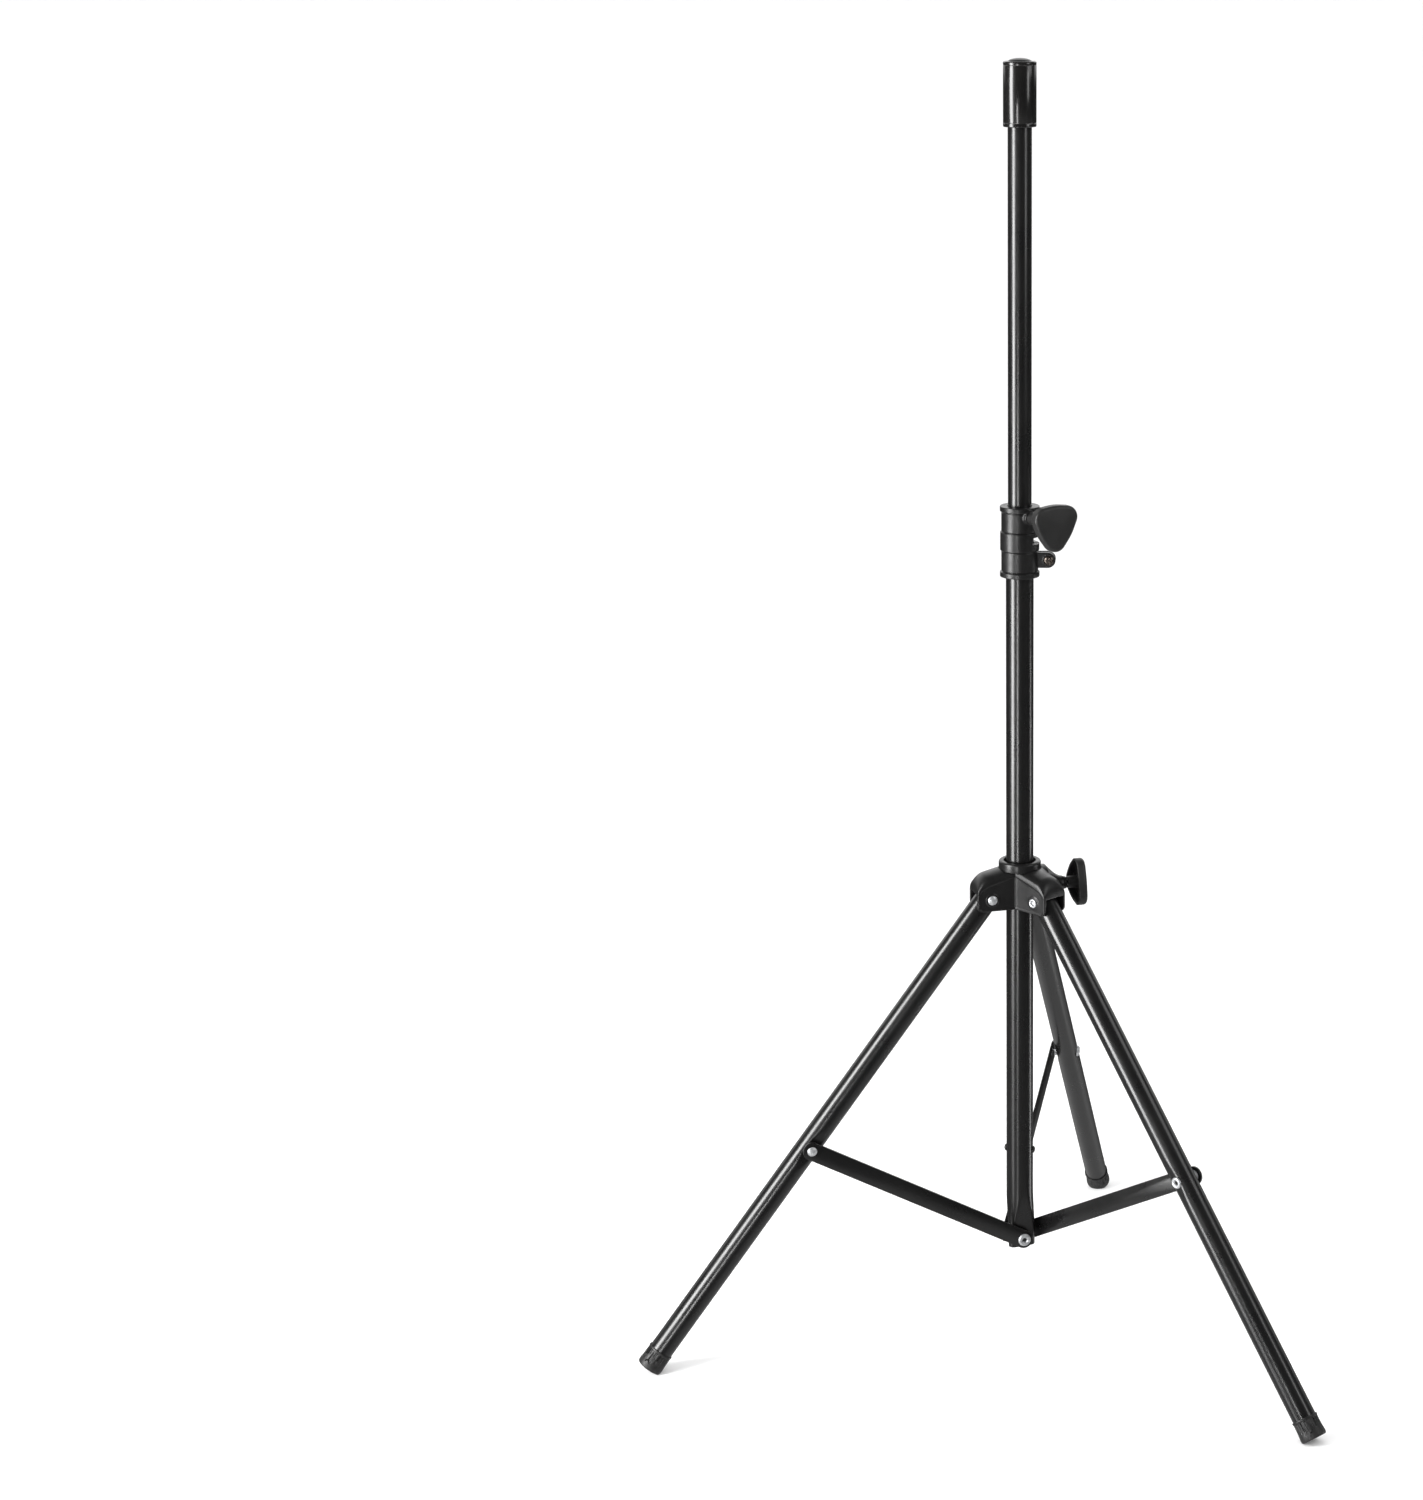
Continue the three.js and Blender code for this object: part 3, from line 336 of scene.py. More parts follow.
def sleeve_black():
    """Gloss black over fine turning lines, with scratches along it and a few bright nicks."""
    g = Graph("sleeve_black")
    streaks = g.noise(260, 4, 0.6, g.stretch((1.0, 1.0, 0.04)))
    scratch = g.ramp(streaks, 0.66, 0.72)
    patches = g.ramp(g.noise(22, 2), 0.56, 0.62)
    chips = g.math("MULTIPLY", g.ramp(g.cells(95), 0.085, 0.06), patches)
    worn = g.math("MULTIPLY", g.edges(0.7), g.ramp(g.noise(120, 3), 0.42, 0.6))
    black, brown_black = (0.0036, 0.0035, 0.0035), (0.0062, 0.0059, 0.0056)
    color = g.mix(g.ramp(g.noise(25, 4), 0.3, 0.7), black, brown_black)
    color = g.tint(color, scratch, 0.25, (0.07, 0.068, 0.066))
    bare = g.math("MAXIMUM", chips, g.math("MULTIPLY", worn, 0.55))
    color = g.mix(bare, color, (0.42, 0.40, 0.38))
    sheen = g.ramp(streaks, 0.3, 0.7, 0.17, 0.27)
    g.bump((g.rings(260), 0.004), (streaks, 0.002))
    return g.finish(color, g.plus(sheen, scratch, 0.12), coat=0.3, coat_roughness=0.12)


def moulded_plastic(name, dark, light, rough, grain_depth, edge_radius=0.9, painted_edge_highlight=0.30):
    """Moulded plastic with a fine spark-eroded grain, polished a little along its edges, where a
    painted highlight also lightens its colour.
    """
    g = Graph(name)
    grain = g.cells(950, "SMOOTH_F1")
    cloud = g.noise(40, 4)
    edge = g.edges(edge_radius)
    color = g.mix(g.ramp(cloud, 0.3, 0.7), dark, light)
    # Painted highlight: the colour is lightened along the edges, standing in for lamps caught by the rounding.
    color = g.tint(color, edge, painted_edge_highlight, tuple(3.2 * c for c in light))
    smear = g.ramp(g.noise(90, 5, 0.65), 0.35, 0.7, rough - 0.05, rough + 0.06)
    roughness = g.math("SUBTRACT", smear, g.math("MULTIPLY", edge, 0.12))
    g.bump((grain, grain_depth), (g.noise(700, 3), grain_depth * 0.5))
    return g.finish(color, roughness)


def foot_rubber():
    """Satin black rubber, dusty and scuffed towards the floor."""
    g = Graph("foot_rubber")
    height = g.add("ShaderNodeSeparateXYZ", {0: g.position}).outputs["Z"]
    low = g.ramp(height, 0.020, 0.001)
    clumps = g.ramp(g.noise(160, 6, 0.7), 0.42, 0.66)
    dust = g.math("MULTIPLY", clumps, g.math("ADD", low, 0.15))
    black, grey_black = (0.0060, 0.0060, 0.0062), (0.0100, 0.0097, 0.0094)
    color = g.mix(g.ramp(g.noise(60, 4), 0.3, 0.7), black, grey_black)
    color = g.tint(color, dust, 0.25, (0.11, 0.105, 0.10))
    color = g.tint(color, g.edges(0.8), 0.3, (0.04, 0.04, 0.04))
    satin = g.ramp(g.noise(120, 4), 0.3, 0.7, 0.38, 0.50)
    g.bump((g.noise(500, 4), 0.03), (g.cells(1500), 0.01))
    return g.finish(color, g.plus(satin, dust, 0.25))


def plated_steel(name, bright, dull, rough, metallic, recess):
    """Plated steel with faint blotches, fine scratches, patchy darkening along its edges and painted
    shade in its recesses: the last argument is the share of its colour left in them."""
    g = Graph(name)
    blotch = g.ramp(g.noise(280, 5, 0.65), 0.35, 0.68)
    scratch = g.noise(1500, 3, 0.6, g.stretch((1.0, 0.12, 1.0)))
    # Darker in patches along the edges and corners.
    edge_darkening = g.math("MULTIPLY", g.edges(0.5, 0.05, 0.4), g.ramp(g.noise(600, 3), 0.4, 0.6))
    color = g.mix(blotch, bright, dull)
    color = g.tint(color, edge_darkening, 0.45, tuple(0.25 * c for c in dull))
    # Painted shade: ambient occlusion darkens the colour in recesses and in the rivets' hollow ends.
    color = g.mix(g.hollows(1.8), tuple(recess * c for c in dull), color)
    plating = g.ramp(blotch, 0.0, 1.0, rough, rough + 0.14)
    g.bump((scratch, 0.006), (g.noise(350, 3), 0.015))
    return g.finish(color, g.plus(plating, scratch, 0.08), metallic=metallic)


LOOKS = {
    "tube_paint": tube_paint(),
    "sleeve_black": sleeve_black(),
    "moulded_black": moulded_plastic(
        "moulded_black", (0.0034, 0.0034, 0.0035), (0.0058, 0.0057, 0.0057), 0.37, 0.05),
    # The last two numbers of knob_grey are the edge radius and the strength of its painted edge highlight.
    "knob_grey": moulded_plastic(
        "knob_grey", (0.0080, 0.0079, 0.0078), (0.0120, 0.0118, 0.0116), 0.44, 0.03, 1.5, 0.6),
    "foot_rubber": foot_rubber(),
    # The last number of each is the share of colour left in recesses, where shade is painted.
    "zinc_steel": plated_steel(
        "zinc_steel", (0.66, 0.67, 0.68), (0.44, 0.45, 0.47), 0.30, 0.8, 0.40),
    "nickel_steel": plated_steel(
        "nickel_steel", (0.13, 0.110, 0.095), (0.06, 0.050, 0.043), 0.13, 0.95, 0.04),
    "nylon_black": moulded_plastic(
        "nylon_black", (0.0042, 0.0042, 0.0043), (0.0068, 0.0067, 0.0067), 0.35, 0.02),
}


# ---- Mesh helpers ----

def add_object(name, data):
    item = bpy.data.objects.new(name, data)
    bpy.context.scene.collection.objects.link(item)
    return item


def add_piece(node, mesh, place, body, slot):
    """Adds a mesh in its own millimetres as the piece that stands for a CAD node and rides a
    body."""
    mesh.transform(place)
    mesh.update()
    mesh.polygons.foreach_set("use_smooth", [True] * len(mesh.polygons))
    mesh.set_sharp_from_angle(angle=SHARP_ANGLE)
    piece = add_object(f"{node}_look", mesh)
    mesh.materials.append(LOOKS[slot])
    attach(piece, body)
    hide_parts(node)


def mesh_of(name, points, faces):
    mesh = bpy.data.meshes.new(name)
    mesh.from_pydata(points, [], faces)
    return mesh


def skin(name, loops, closed=False):
    """Skins loops of equal point counts. A closed skin joins its last loop to its first, and an
    open one is capped at both ends, by a fan round a loop's centre."""
    count = len(loops[0])
    points = [p for loop in loops for p in loop]
    faces = []
    for i in range(len(loops) if closed else len(loops) - 1):
        a, b = i * count, ((i + 1) % len(loops)) * count
        faces += [(a + j, a + (j + 1) % count, b + (j + 1) % count, b + j) for j in range(count)]
    if not closed:
        for start, flip in ((0, True), ((len(loops) - 1) * count, False)):
            middle = len(points)
            points.append(tuple(np.mean(points[start:start + count], axis=0)))
            for j in range(count):
                pair = (start + j, start + (j + 1) % count)
                faces.append((middle, *(reversed(pair) if flip else pair)))
    return mesh_of(name, points, faces)


def circle(radius, z, segments):
    turns = [2 * pi * i / segments for i in range(segments)]
    return [(radius * cos(t), radius * sin(t), z) for t in turns]


def add_turned(node, profile, place, body, slot, segments=SMALL_ROUND, closed=False):
    """Adds a piece that is a profile of (radius, height) points turned about Z. It runs
    counter-clockwise, as seen with the radius to the right."""
    loops = [circle(max(radius, 0.02), z, segments) for radius, z in profile]
    add_piece(node, skin(node, loops, closed), place, body, slot)


def arc(radius, z, bend, start, end, steps=6):
    """Points of a rounded corner: its centre's radius and height, its bend radius, and the angles
    in degrees that it runs between."""
    angles = [radians(start + (end - start) * i / steps) for i in range(steps + 1)]
    return [(radius + bend * cos(a), z + bend * sin(a)) for a in angles]


def plate(name, outline, bottom, top, edge):
    """A flat bar with rounded long edges. `outline` is a function of an inset."""
    loops = []
    for height, side, turns in ((bottom, 1, (0, 45, 90)), (top, -1, (90, 135, 180))):
        for turn in turns:
            a = radians(turn)
            z = height + side * edge * (1 - side * cos(a))
            loops.append([(x, y, z) for x, y in outline(edge * (1 - sin(a)))])
    return skin(name, loops)


# ---- Shapes as distances: moulded pieces are skinned from a function that is negative inside ----

def blend(a, b, radius):
    """Union of two shapes with a fillet between them."""
    h = np.maximum(radius - np.abs(a - b), 0) / radius
    return np.minimum(a, b) - h * h * radius / 4


def carve(a, b, radius):
    """The first shape without the second, with the edge between them rounded."""
    return -blend(-a, b, radius)


def overlap(a, b, radius):
    """What two shapes share, with rounded edges."""
    return -blend(-a, -b, radius)


def slab(values, low, high):
    return np.maximum(low - values, values - high)


def rounded_box(pairs, edge):
    """Distance to a box from each axis's (offset from centre, half size)."""
    q = [np.abs(offset) - (half - edge) for offset, half in pairs]
    outside = np.sqrt(sum(np.maximum(v, 0) ** 2 for v in q))
    inside = np.minimum(np.maximum.reduce(np.broadcast_arrays(*q)), 0)
    return outside + inside - edge


def turn_to(x, y, azimuth):
    """Coordinates along and across an azimuth."""
    c, s = cos(azimuth), sin(azimuth)
    return x * c + y * s, y * c - x * s


def surface(name, shape, low, high, step):
    """Skins a shape with evenly spaced quads: one point in each cell that the surface crosses,
    and one quad round each grid edge that it crosses."""
    axes = [np.arange(a - 1.5 * step, b + 2.5 * step, step) for a, b in zip(low, high)]
    values = np.broadcast_to(shape(*np.meshgrid(*axes, indexing="ij", sparse=True)),
                             [len(a) for a in axes])
    inside = values < 0
    cells = tuple(n - 1 for n in values.shape)
    total = np.zeros(cells + (3,))
    crossings = np.zeros(cells)

    def window(array, corner):
        return array[tuple(slice(o, o + n) for o, n in zip(corner, cells))]

    for a in [(i, j, k) for i in (0, 1) for j in (0, 1) for k in (0, 1)]:
        for axis in range(3):
            if a[axis]:
                continue
            b = tuple(1 if k == axis else a[k] for k in range(3))
            va, vb = window(values, a), window(values, b)
            crossed = window(inside, a) != window(inside, b)
            share = np.where(crossed, va / np.where(crossed, va - vb, 1), 0)
            for k in range(3):
                total[..., k] += np.where(crossed, a[k] + (share if k == axis else 0), 0)
            crossings += crossed
    used = crossings > 0
    number = np.full(cells, -1)
    number[used] = np.arange(used.sum())
    points = np.argwhere(used) + total[used] / crossings[used][:, None]
    points = points * step + [a[0] for a in axes]
    quads = []
    for axis in range(3):
        u, v = (axis + 1) % 3, (axis + 2) % 3
        first = [slice(1, n - 1) for n in values.shape]
        first[axis] = slice(0, values.shape[axis] - 1)
        second = list(first)
        second[axis] = slice(1, values.shape[axis])
        a, b = inside[tuple(first)], inside[tuple(second)]
        for crossed, flip in ((a & ~b, False), (~a & b, True)):
            place = np.argwhere(crossed) + [0 if k == axis else 1 for k in range(3)]
            ring = []
            for du, dv in ((1, 1), (0, 1), (0, 0), (1, 0)):
                cell = place.copy()
                cell[:, u] -= du
                cell[:, v] -= dv
                ring.append(number[tuple(cell.T)])
            quads.append(np.stack(ring[::-1] if flip else ring, axis=1))
    points = drawn_onto(shape, points, step)
    mesh = mesh_of(name, points.tolist(), np.concatenate(quads).tolist())
    mesh.validate()
    return mesh


def drawn_onto(shape, points, step):
    """Points moved along a shape's slope until they lie on its surface."""
    reach = 0.02 * step
    for _ in range(3):
        value = shape(*points.T)
        slope = np.stack([(shape(*(points + reach * unit).T) - shape(*(points - reach * unit).T))
                          / (2 * reach) for unit in np.eye(3)], axis=1)
        move = value[:, None] * slope / np.maximum((slope ** 2).sum(1), 0.2)[:, None]
        points -= np.clip(move, -0.5 * step, 0.5 * step)
    return points


# ---- Mast, pole and sleeve ----

def smooth_step(value):
    value = min(max(value, 0.0), 1.0)
    return value * value * (3 - 2 * value)


def mast_loop(z, bottom, flat_azimuth, shrink):
    """Cross-section of the mast: round, with three flats that deepen towards its foot."""
    rise = (z - bottom - STRAIGHT_LENGTH) / (FORMED_LENGTH - STRAIGHT_LENGTH)
    formed = 1 - smooth_step(rise)
    flat = MAST_RADIUS + 0.15 + (FLAT_DISTANCE - MAST_RADIUS) * formed - shrink
    corner = MAST_RADIUS + (CORNER_REACH - MAST_RADIUS) * formed - shrink
    soft = 0.4 + 2.2 * formed
    third = radians(120)
    loop = []
    for i in range(ROUND):
        angle = 2 * pi * i / ROUND
        offset = (angle - flat_azimuth + third / 2) % third - third / 2
        plane = flat / cos(offset)
        h = max(soft - abs(plane - corner), 0) / soft
        radius = min(plane, corner) - h * h * soft / 4
        radius = min(radius, MAST_RADIUS - shrink) if formed == 0 else radius
        loop.append((radius * cos(angle), radius * sin(angle), z))
    return loop


def add_mast():
    low, high = box_mm("mast_tube")
    bottom, top = low.z, high.z
    flat_azimuth = azimuth_of(centre_of("mast_brace_rivet_1"))
    levels = [bottom + FORMED_LENGTH * i / 30 for i in range(1, 31)]
    levels += [bottom + FORMED_LENGTH + (top - bottom - FORMED_LENGTH) * i / 12
               for i in range(1, 13)]
    edge = 0.7

    def loops(heights, shrink):
        return [mast_loop(z, bottom, flat_azimuth, shrink) for z in heights]

    outside = []
    for turn in (0, 30, 60, 90):
        a = radians(turn)
        outside += loops([bottom + edge * (1 - cos(a))], edge * (1 - sin(a)))
    outside += loops(levels, 0)
    inside = loops([bottom + 0.4] + levels, MAST_WALL)
    mesh = skin("mast_tube", outside + inside[::-1], closed=True)
    add_piece("mast_tube", mesh, IN_PLACE, "mast", "tube_paint")


def ring_wall(inner, outer, bottom, top, edge):
    """Closed profile of a tube with rounded ends."""
    corners = ((outer - edge, bottom + edge, -90), (outer - edge, top - edge, 0),
               (inner + edge, top - edge, 90), (inner + edge, bottom + edge, 180))
    return [point for radius, z, start in corners
            for point in arc(radius, z, edge, start, start + 90)]


def add_pole():
    low, high = box_mm("pole_tube")
    profile = ring_wall(POLE_RADIUS - POLE_WALL, POLE_RADIUS, low.z, high.z, 0.4)
    add_turned("pole_tube", profile, IN_PLACE, "pole", "tube_paint", ROUND, True)

    low, high = box_mm("pole_sleeve")
    outer, inner = (high.x - low.x) / 2, POLE_RADIUS + 0.2
    profile = arc(outer - 1.0, low.z + 1.0, 1.0, -80, 0)
    for share in (0.06, 0.94):
        z = low.z + share * (high.z - low.z)
        profile += [(outer, z - 0.35), (outer - 0.18, z), (outer, z + 0.35)]
    profile += arc(outer - 1.7, high.z - 1.7, 1.7, 0, 84, 8)
    profile += [(POLE_RADIUS + 0.6, high.z - 0.1), (inner, high.z - 0.6)]
    profile += [(inner, low.z + 0.3), (inner + 0.3, low.z)]
    add_turned("pole_sleeve", profile, IN_PLACE, "pole", "sleeve_black", ROUND, True)

    seat, cap_top = high.z, box_mm("pole_cap")[1].z
    rim = seat - 0.6
    profile = [(CAP_SHANK_RADIUS, seat - CAP_SHANK_LENGTH), (CAP_SHANK_RADIUS, seat - 2.2)]
    profile += [(CAP_RADIUS, seat - 2.2), (CAP_RADIUS, rim)]
    for turn in range(6, 79, 6):
        a = radians(turn)
        profile.append((CAP_RADIUS * cos(a), rim + (cap_top - rim) * sin(a)))
    profile += [(1.6, cap_top - 0.05), (1.3, cap_top - 0.35), (0.0, cap_top - 0.4)]
    add_turned("pole_cap", profile, IN_PLACE, "pole", "moulded_black", ROUND)


# ---- Height clamp ----

def ring_shape(r, z, radius, low, high, edge):
    """A disc between two heights, with rounded edges."""
    return rounded_box(((r, radius), (z - (low + high) / 2, (high - low) / 2)), edge)


def grooves(z, places, depth=0.6, half_width=0.55):
    """Depth of the fine turned lines at given heights."""
    return sum(depth * np.exp(-((z - place) / half_width) ** 2) for place in places)


def ear_shape(u, v, z, ear_end, screw):
    """The two pinch ears along an azimuth: round-ended plates, with a raised pad at the screw."""
    tip = ear_end - EAR_HALF_HEIGHT
    along = np.clip((u - EAR_START) / (tip - EAR_START), 0, 1)
    outline = np.hypot(u - EAR_START - along * (tip - EAR_START), z) - EAR_HALF_HEIGHT
    pad = EAR_PAD * (np.hypot(u - screw, z) < PINCH_HEAD_RADIUS + 0.7)
    half = EAR_THICKNESS / 2
    thickness = np.abs(np.abs(v) - EAR_GAP / 2 - half) - half - pad
    return overlap(outline, thickness, 1.0)


def clamp_shape(bottom, height, knob, ear):
    """The clamp's moulding. `knob` is the boss's (azimuth, height), and `ear` the pinch ears'
    (azimuth, height, end, screw reach). Heights are measured from the clamp's bottom."""
    knob_azimuth, knob_z = knob
    ear_azimuth, ear_z, ear_end, screw = ear
    lines = (FLANGE_HEIGHT + 0.5, BAND[0] - 0.4, BAND[1] + 0.4, height - FLANGE_HEIGHT - 0.5)

    def shape(x, y, z):
        z = z - bottom
        r = np.hypot(x, y)
        solid = ring_shape(r + grooves(z, lines), z, CLAMP_RADIUS, 0, height, 0.6)
        for low, high in ((0, FLANGE_HEIGHT), (height - FLANGE_HEIGHT, height)):
            solid = np.minimum(solid, ring_shape(r, z, FLANGE_RADIUS, low, high, 0.8))
        solid = np.minimum(solid, ring_shape(r, z, BAND_RADIUS, *BAND, 0.45))
        stud_u, stud_v = turn_to(x, y, knob_azimuth)
        around = np.hypot(stud_v, z - knob_z)
        half = CLAMP_BOSS_END / 2
        boss = rounded_box(((stud_u - half, half), (around, CLAMP_BOSS_RADIUS)), 1.0)
        solid = blend(solid, boss, 1.6)
        u, v = turn_to(x, y, ear_azimuth)
        solid = blend(solid, ear_shape(u, v, z - ear_z, ear_end, screw), 1.0)
        relief = np.maximum(slab(z, *RELIEF_SLOT), RELIEF_SLOT_START - u)
        split = np.maximum(np.maximum(np.abs(v) - EAR_GAP / 2, SPLIT_START - u),
                           z - RELIEF_SLOT[1])
        solid = carve(solid, np.minimum(relief, split), 0.5)
        screw_hole = np.hypot(u - screw, z - ear_z) - RIVET_RADIUS - HOLE_CLEARANCE
        solid = carve(solid, screw_hole, 0.5)
        bore = np.where(z > height - CLAMP_ROOF, r - POLE_RADIUS - 0.5, r - MAST_RADIUS - 0.25)
        solid = carve(solid, bore, 0.8)
        return carve(solid, stud_hole(around, stud_u), 0.5)

    return shape


def stud_hole(around, along):
    """The hole for a knob's stud, which starts inside the wall of the bore."""
    return np.maximum(around - STUD_RADIUS - HOLE_CLEARANCE, STUD_HOLE_START - along)


def add_clamp():
    low, high = box_mm("clamp_body")
    knob_azimuth = azimuth_of(joint_axis("clamp_knob_turn"))
    knob_z = joint_point("clamp_knob_turn").z - low.z
    screw_place = centre_of("pinch_screw")
    across = (centre_of("pinch_nut") - screw_place).normalized()
    ear_azimuth = azimuth_of(across.cross(UP))
    outward = radial(ear_azimuth)
    ear_end = extent("clamp_body", Vector((0, 0, 0)), outward)[1]
    screw = screw_place.dot(outward)
    shape = clamp_shape(low.z, high.z - low.z, (knob_azimuth, knob_z),
                        (ear_azimuth, screw_place.z - low.z, ear_end, screw))
    mesh = surface("clamp_body", shape, low, high, 0.5)
    add_piece("clamp_body", mesh, IN_PLACE, "mast", "moulded_black")

    place = local_frame(outward * screw + UP * screw_place.z, outward, -across)
    seat = EAR_GAP / 2 + EAR_THICKNESS + EAR_PAD
    add_pinch_screw(place, seat)
    add_pinch_nut(place, seat)


def add_pinch_screw(place, seat):
    """Domed cross-head screw. Z runs along it, from the middle of the ears to its head."""
    start, end = -seat - PINCH_SHANK_PROUD, seat + 2.0

    def shape(x, y, z):
        r = np.hypot(x, y)
        rod = rounded_box(((r, RIVET_RADIUS), (z - (start + end) / 2, (end - start) / 2)), 0.5)
        ball = np.sqrt(x * x + y * y + (z - seat + PINCH_DOME_DROP) ** 2) - PINCH_DOME_RADIUS
        head = overlap(overlap(ball, r - PINCH_HEAD_RADIUS, 0.8), seat - z, 0.4)
        x, y = np.abs(x), np.abs(y)
        cross = np.minimum(np.maximum(x - CROSS_HALF_WIDTH, y - CROSS_REACH),
                           np.maximum(y - CROSS_HALF_WIDTH, x - CROSS_REACH))
        recess = np.maximum(cross + 0.2 * (seat + 3 - z), seat + 0.5 - z)
        return np.minimum(rod, carve(head, recess, 0.3))

    mesh = surface("pinch_screw", shape, (-6, -6, start - 0.5), (6, 6, seat + 3.2), 0.3)
    add_piece("pinch_screw", mesh, place, "mast", "nickel_steel")


def add_pinch_nut(place, seat):
    start = -seat - PINCH_NUT_THICKNESS - 0.2
    end = start + PINCH_NUT_THICKNESS

    def shape(x, y, z):
        turns = [radians(60 * i) for i in range(6)]
        hexagon = np.maximum.reduce([x * cos(t) + y * sin(t) for t in turns])
        body = overlap(hexagon - PINCH_NUT_HALF_WIDTH, slab(z, start, end), 0.3)
        r = np.hypot(x, y)
        chamfer = r + 0.55 * np.abs(z - (start + end) / 2) - PINCH_NUT_CHAMFER
        return carve(overlap(body, chamfer, 0.2), r - RIVET_RADIUS - 0.2, 0.4)

    mesh = surface("pinch_nut", shape, (-6, -6, start), (6, 6, end), 0.35)
    add_piece("pinch_nut", mesh, place, "mast", "zinc_steel")


# ---- Knobs ----

def knob_shape(back, face, stem_start):
    """Rounded triangle with a lobe pointing down, hollow behind, on a flared stem. X runs along
    the stud, and `back` and `face` are the knob plate's two sides."""
    side = LOBE_CENTRE / 2
    turns = [radians(90 + 120 * i) for i in range(3)]

    def shape(x, y, z):
        rho = np.hypot(y, z)
        lobes = np.cos(3 * (np.arctan2(z, y) + radians(90)))
        # An equilateral triangle with the lobes' centres as its corners, grown by their radius
        sides = [y * cos(t) + z * sin(t) - side for t in turns]
        corners = [np.hypot(y + LOBE_CENTRE * cos(t), z + LOBE_CENTRE * sin(t)) for t in turns]
        flank = np.where(beside_triangle(y, z, turns), np.maximum.reduce(sides),
                         np.minimum.reduce(corners))
        outline = flank - LOBE_RADIUS - KNOB_BULGE / 2 * (1 - lobes) * np.minimum(rho / side, 1)
        facets = sum(np.exp((distance + side) / 3) for distance in sides)
        crown = KNOB_CROWN * 3 * np.log(facets / 3)
        head = overlap(overlap(x - face + crown, outline, KNOB_ROUNDING), back - x, 0.8)
        hollow = np.maximum(outline + KNOB_RIM, x - face + KNOB_FACE_WALL)
        head = carve(head, hollow, 0.8)
        flare = STEM_FLARE * np.clip((x - stem_start) / (face - stem_start), 0, 1) ** 2
        stem = overlap(rho - STEM_RADIUS - flare, slab(x, stem_start, face - 2), 0.8)
        hole = np.maximum(rho - STUD_RADIUS - HOLE_CLEARANCE, x - stem_start - STEM_HOLE_DEPTH)
        return carve(blend(head, stem, 1.2), hole, 0.5)

    return shape


def beside_triangle(y, z, turns):
    """True where the nearest part of the triangle is a side rather than a corner."""
    nearest = np.argmax(np.stack(np.broadcast_arrays(
        *[y * cos(t) + z * sin(t) for t in turns])), axis=0)
    along = np.choose(nearest, np.broadcast_arrays(
        *[np.abs(z * cos(t) - y * sin(t)) for t in turns]))
    return along <= LOBE_CENTRE * cos(radians(30))


def add_knob(name, turn):
    """A knob with its threaded stud, and the pad that the stud presses on the tube."""
    joint = f"{name}_turn"
    axis = joint_axis(joint)
    origin = UP * joint_point(joint).z
    place = local_frame(origin, axis, UP)
    head = f"{name}_head"
    stem_start, face = extent(head, origin, axis)
    shape = knob_shape(face - KNOB_THICKNESS, face, stem_start)
    reach = LOBE_RADIUS + LOBE_CENTRE
    mesh = surface(head, shape, (stem_start, -reach, -reach), (face, reach, reach), 0.55)
    turned_place = place @ Matrix.Rotation(radians(turn), 4, "X")
    add_piece(head, mesh, turned_place, name, "knob_grey")

    along_x = place @ Matrix.Rotation(radians(90), 4, "Y")
    stud = f"{name}_stud"
    start, end = extent(stud, origin, axis)
    root, crest = STUD_RADIUS - THREAD_DEPTH, STUD_RADIUS - 0.05
    profile = [(root, start)]
    for i in range(int((end - start) / THREAD_PITCH)):
        z = start + THREAD_PITCH * i
        profile += [(root, z + 0.2), (crest, z + 0.5), (crest, z + 0.7)]
    profile.append((root, end))
    add_turned(stud, profile, along_x, name, "zinc_steel")

    pad = f"{name}_pad"
    start, end = extent(pad, origin, axis)
    profile = arc(2.3, start + 0.6, 0.6, -90, 0) + arc(2.4, end - 0.5, 0.5, 0, 90)
    add_turned(pad, profile, along_x, name.replace("knob", "pad"), "nylon_black")


# ---- Hub ----

def roof(u, inner, drop, corner_start):
    """Height of an arm's roof along it: a gentle slope, then a quarter turn down to the mouth."""
    straight = inner - drop / ROOF_RUN * (u - ARM_ROOT)
    corner = np.clip((u - corner_start) / (ARM_END + 0.2 - corner_start), 0, 1)
    return straight - (1 - np.sqrt(np.maximum(1 - corner ** 2, 0))) * (straight - MOUTH_TOP - 1)


def steepness(u, lip):
    """What a height over the roof is divided by to make it a distance from the roof."""
    return np.sqrt(1 + ((roof(u + 0.1, *LIP) - lip) / 0.1) ** 2)


def lower_corner(u, z):
    """Distance to the rounded corner at the lower end of an arm."""
    return np.hypot(np.maximum(u - ARM_END + CHEEK_CORNER, 0),
                    np.maximum(HUB_BOTTOM + CHEEK_CORNER - z, 0)) - CHEEK_CORNER


def arm_shape(u, v, z, reach):
    """One arm of the hub: a low vault between two cheeks, each recessed but for a border and a
    round pad at its rivet."""
    across = np.sqrt(np.clip(1 - (v / ARM_HALF_WIDTH) ** 2, 0, 1))
    lip, ridge = roof(u, *LIP), roof(u, *RIDGE)
    steep, corner = steepness(u, lip), lower_corner(u, z)
    outline = np.maximum((z - lip) / steep, np.maximum(corner, u - ARM_END))
    panel = np.maximum(outline + CHEEK_BORDER, RIVET_PAD_RADIUS - np.hypot(u - reach, z))
    recess = CHEEK_RECESS * np.clip(0.5 - panel / 0.7, 0, 1)
    cheeks = np.abs(v) - ARM_HALF_WIDTH + recess
    top = (z - lip - (ridge - lip) * across) / steep
    ends = np.maximum(corner, np.maximum(u - ARM_END, HUB_BOTTOM - z))
    return np.maximum(overlap(overlap(cheeks, top, 1.5), ends, 1.5), -u)


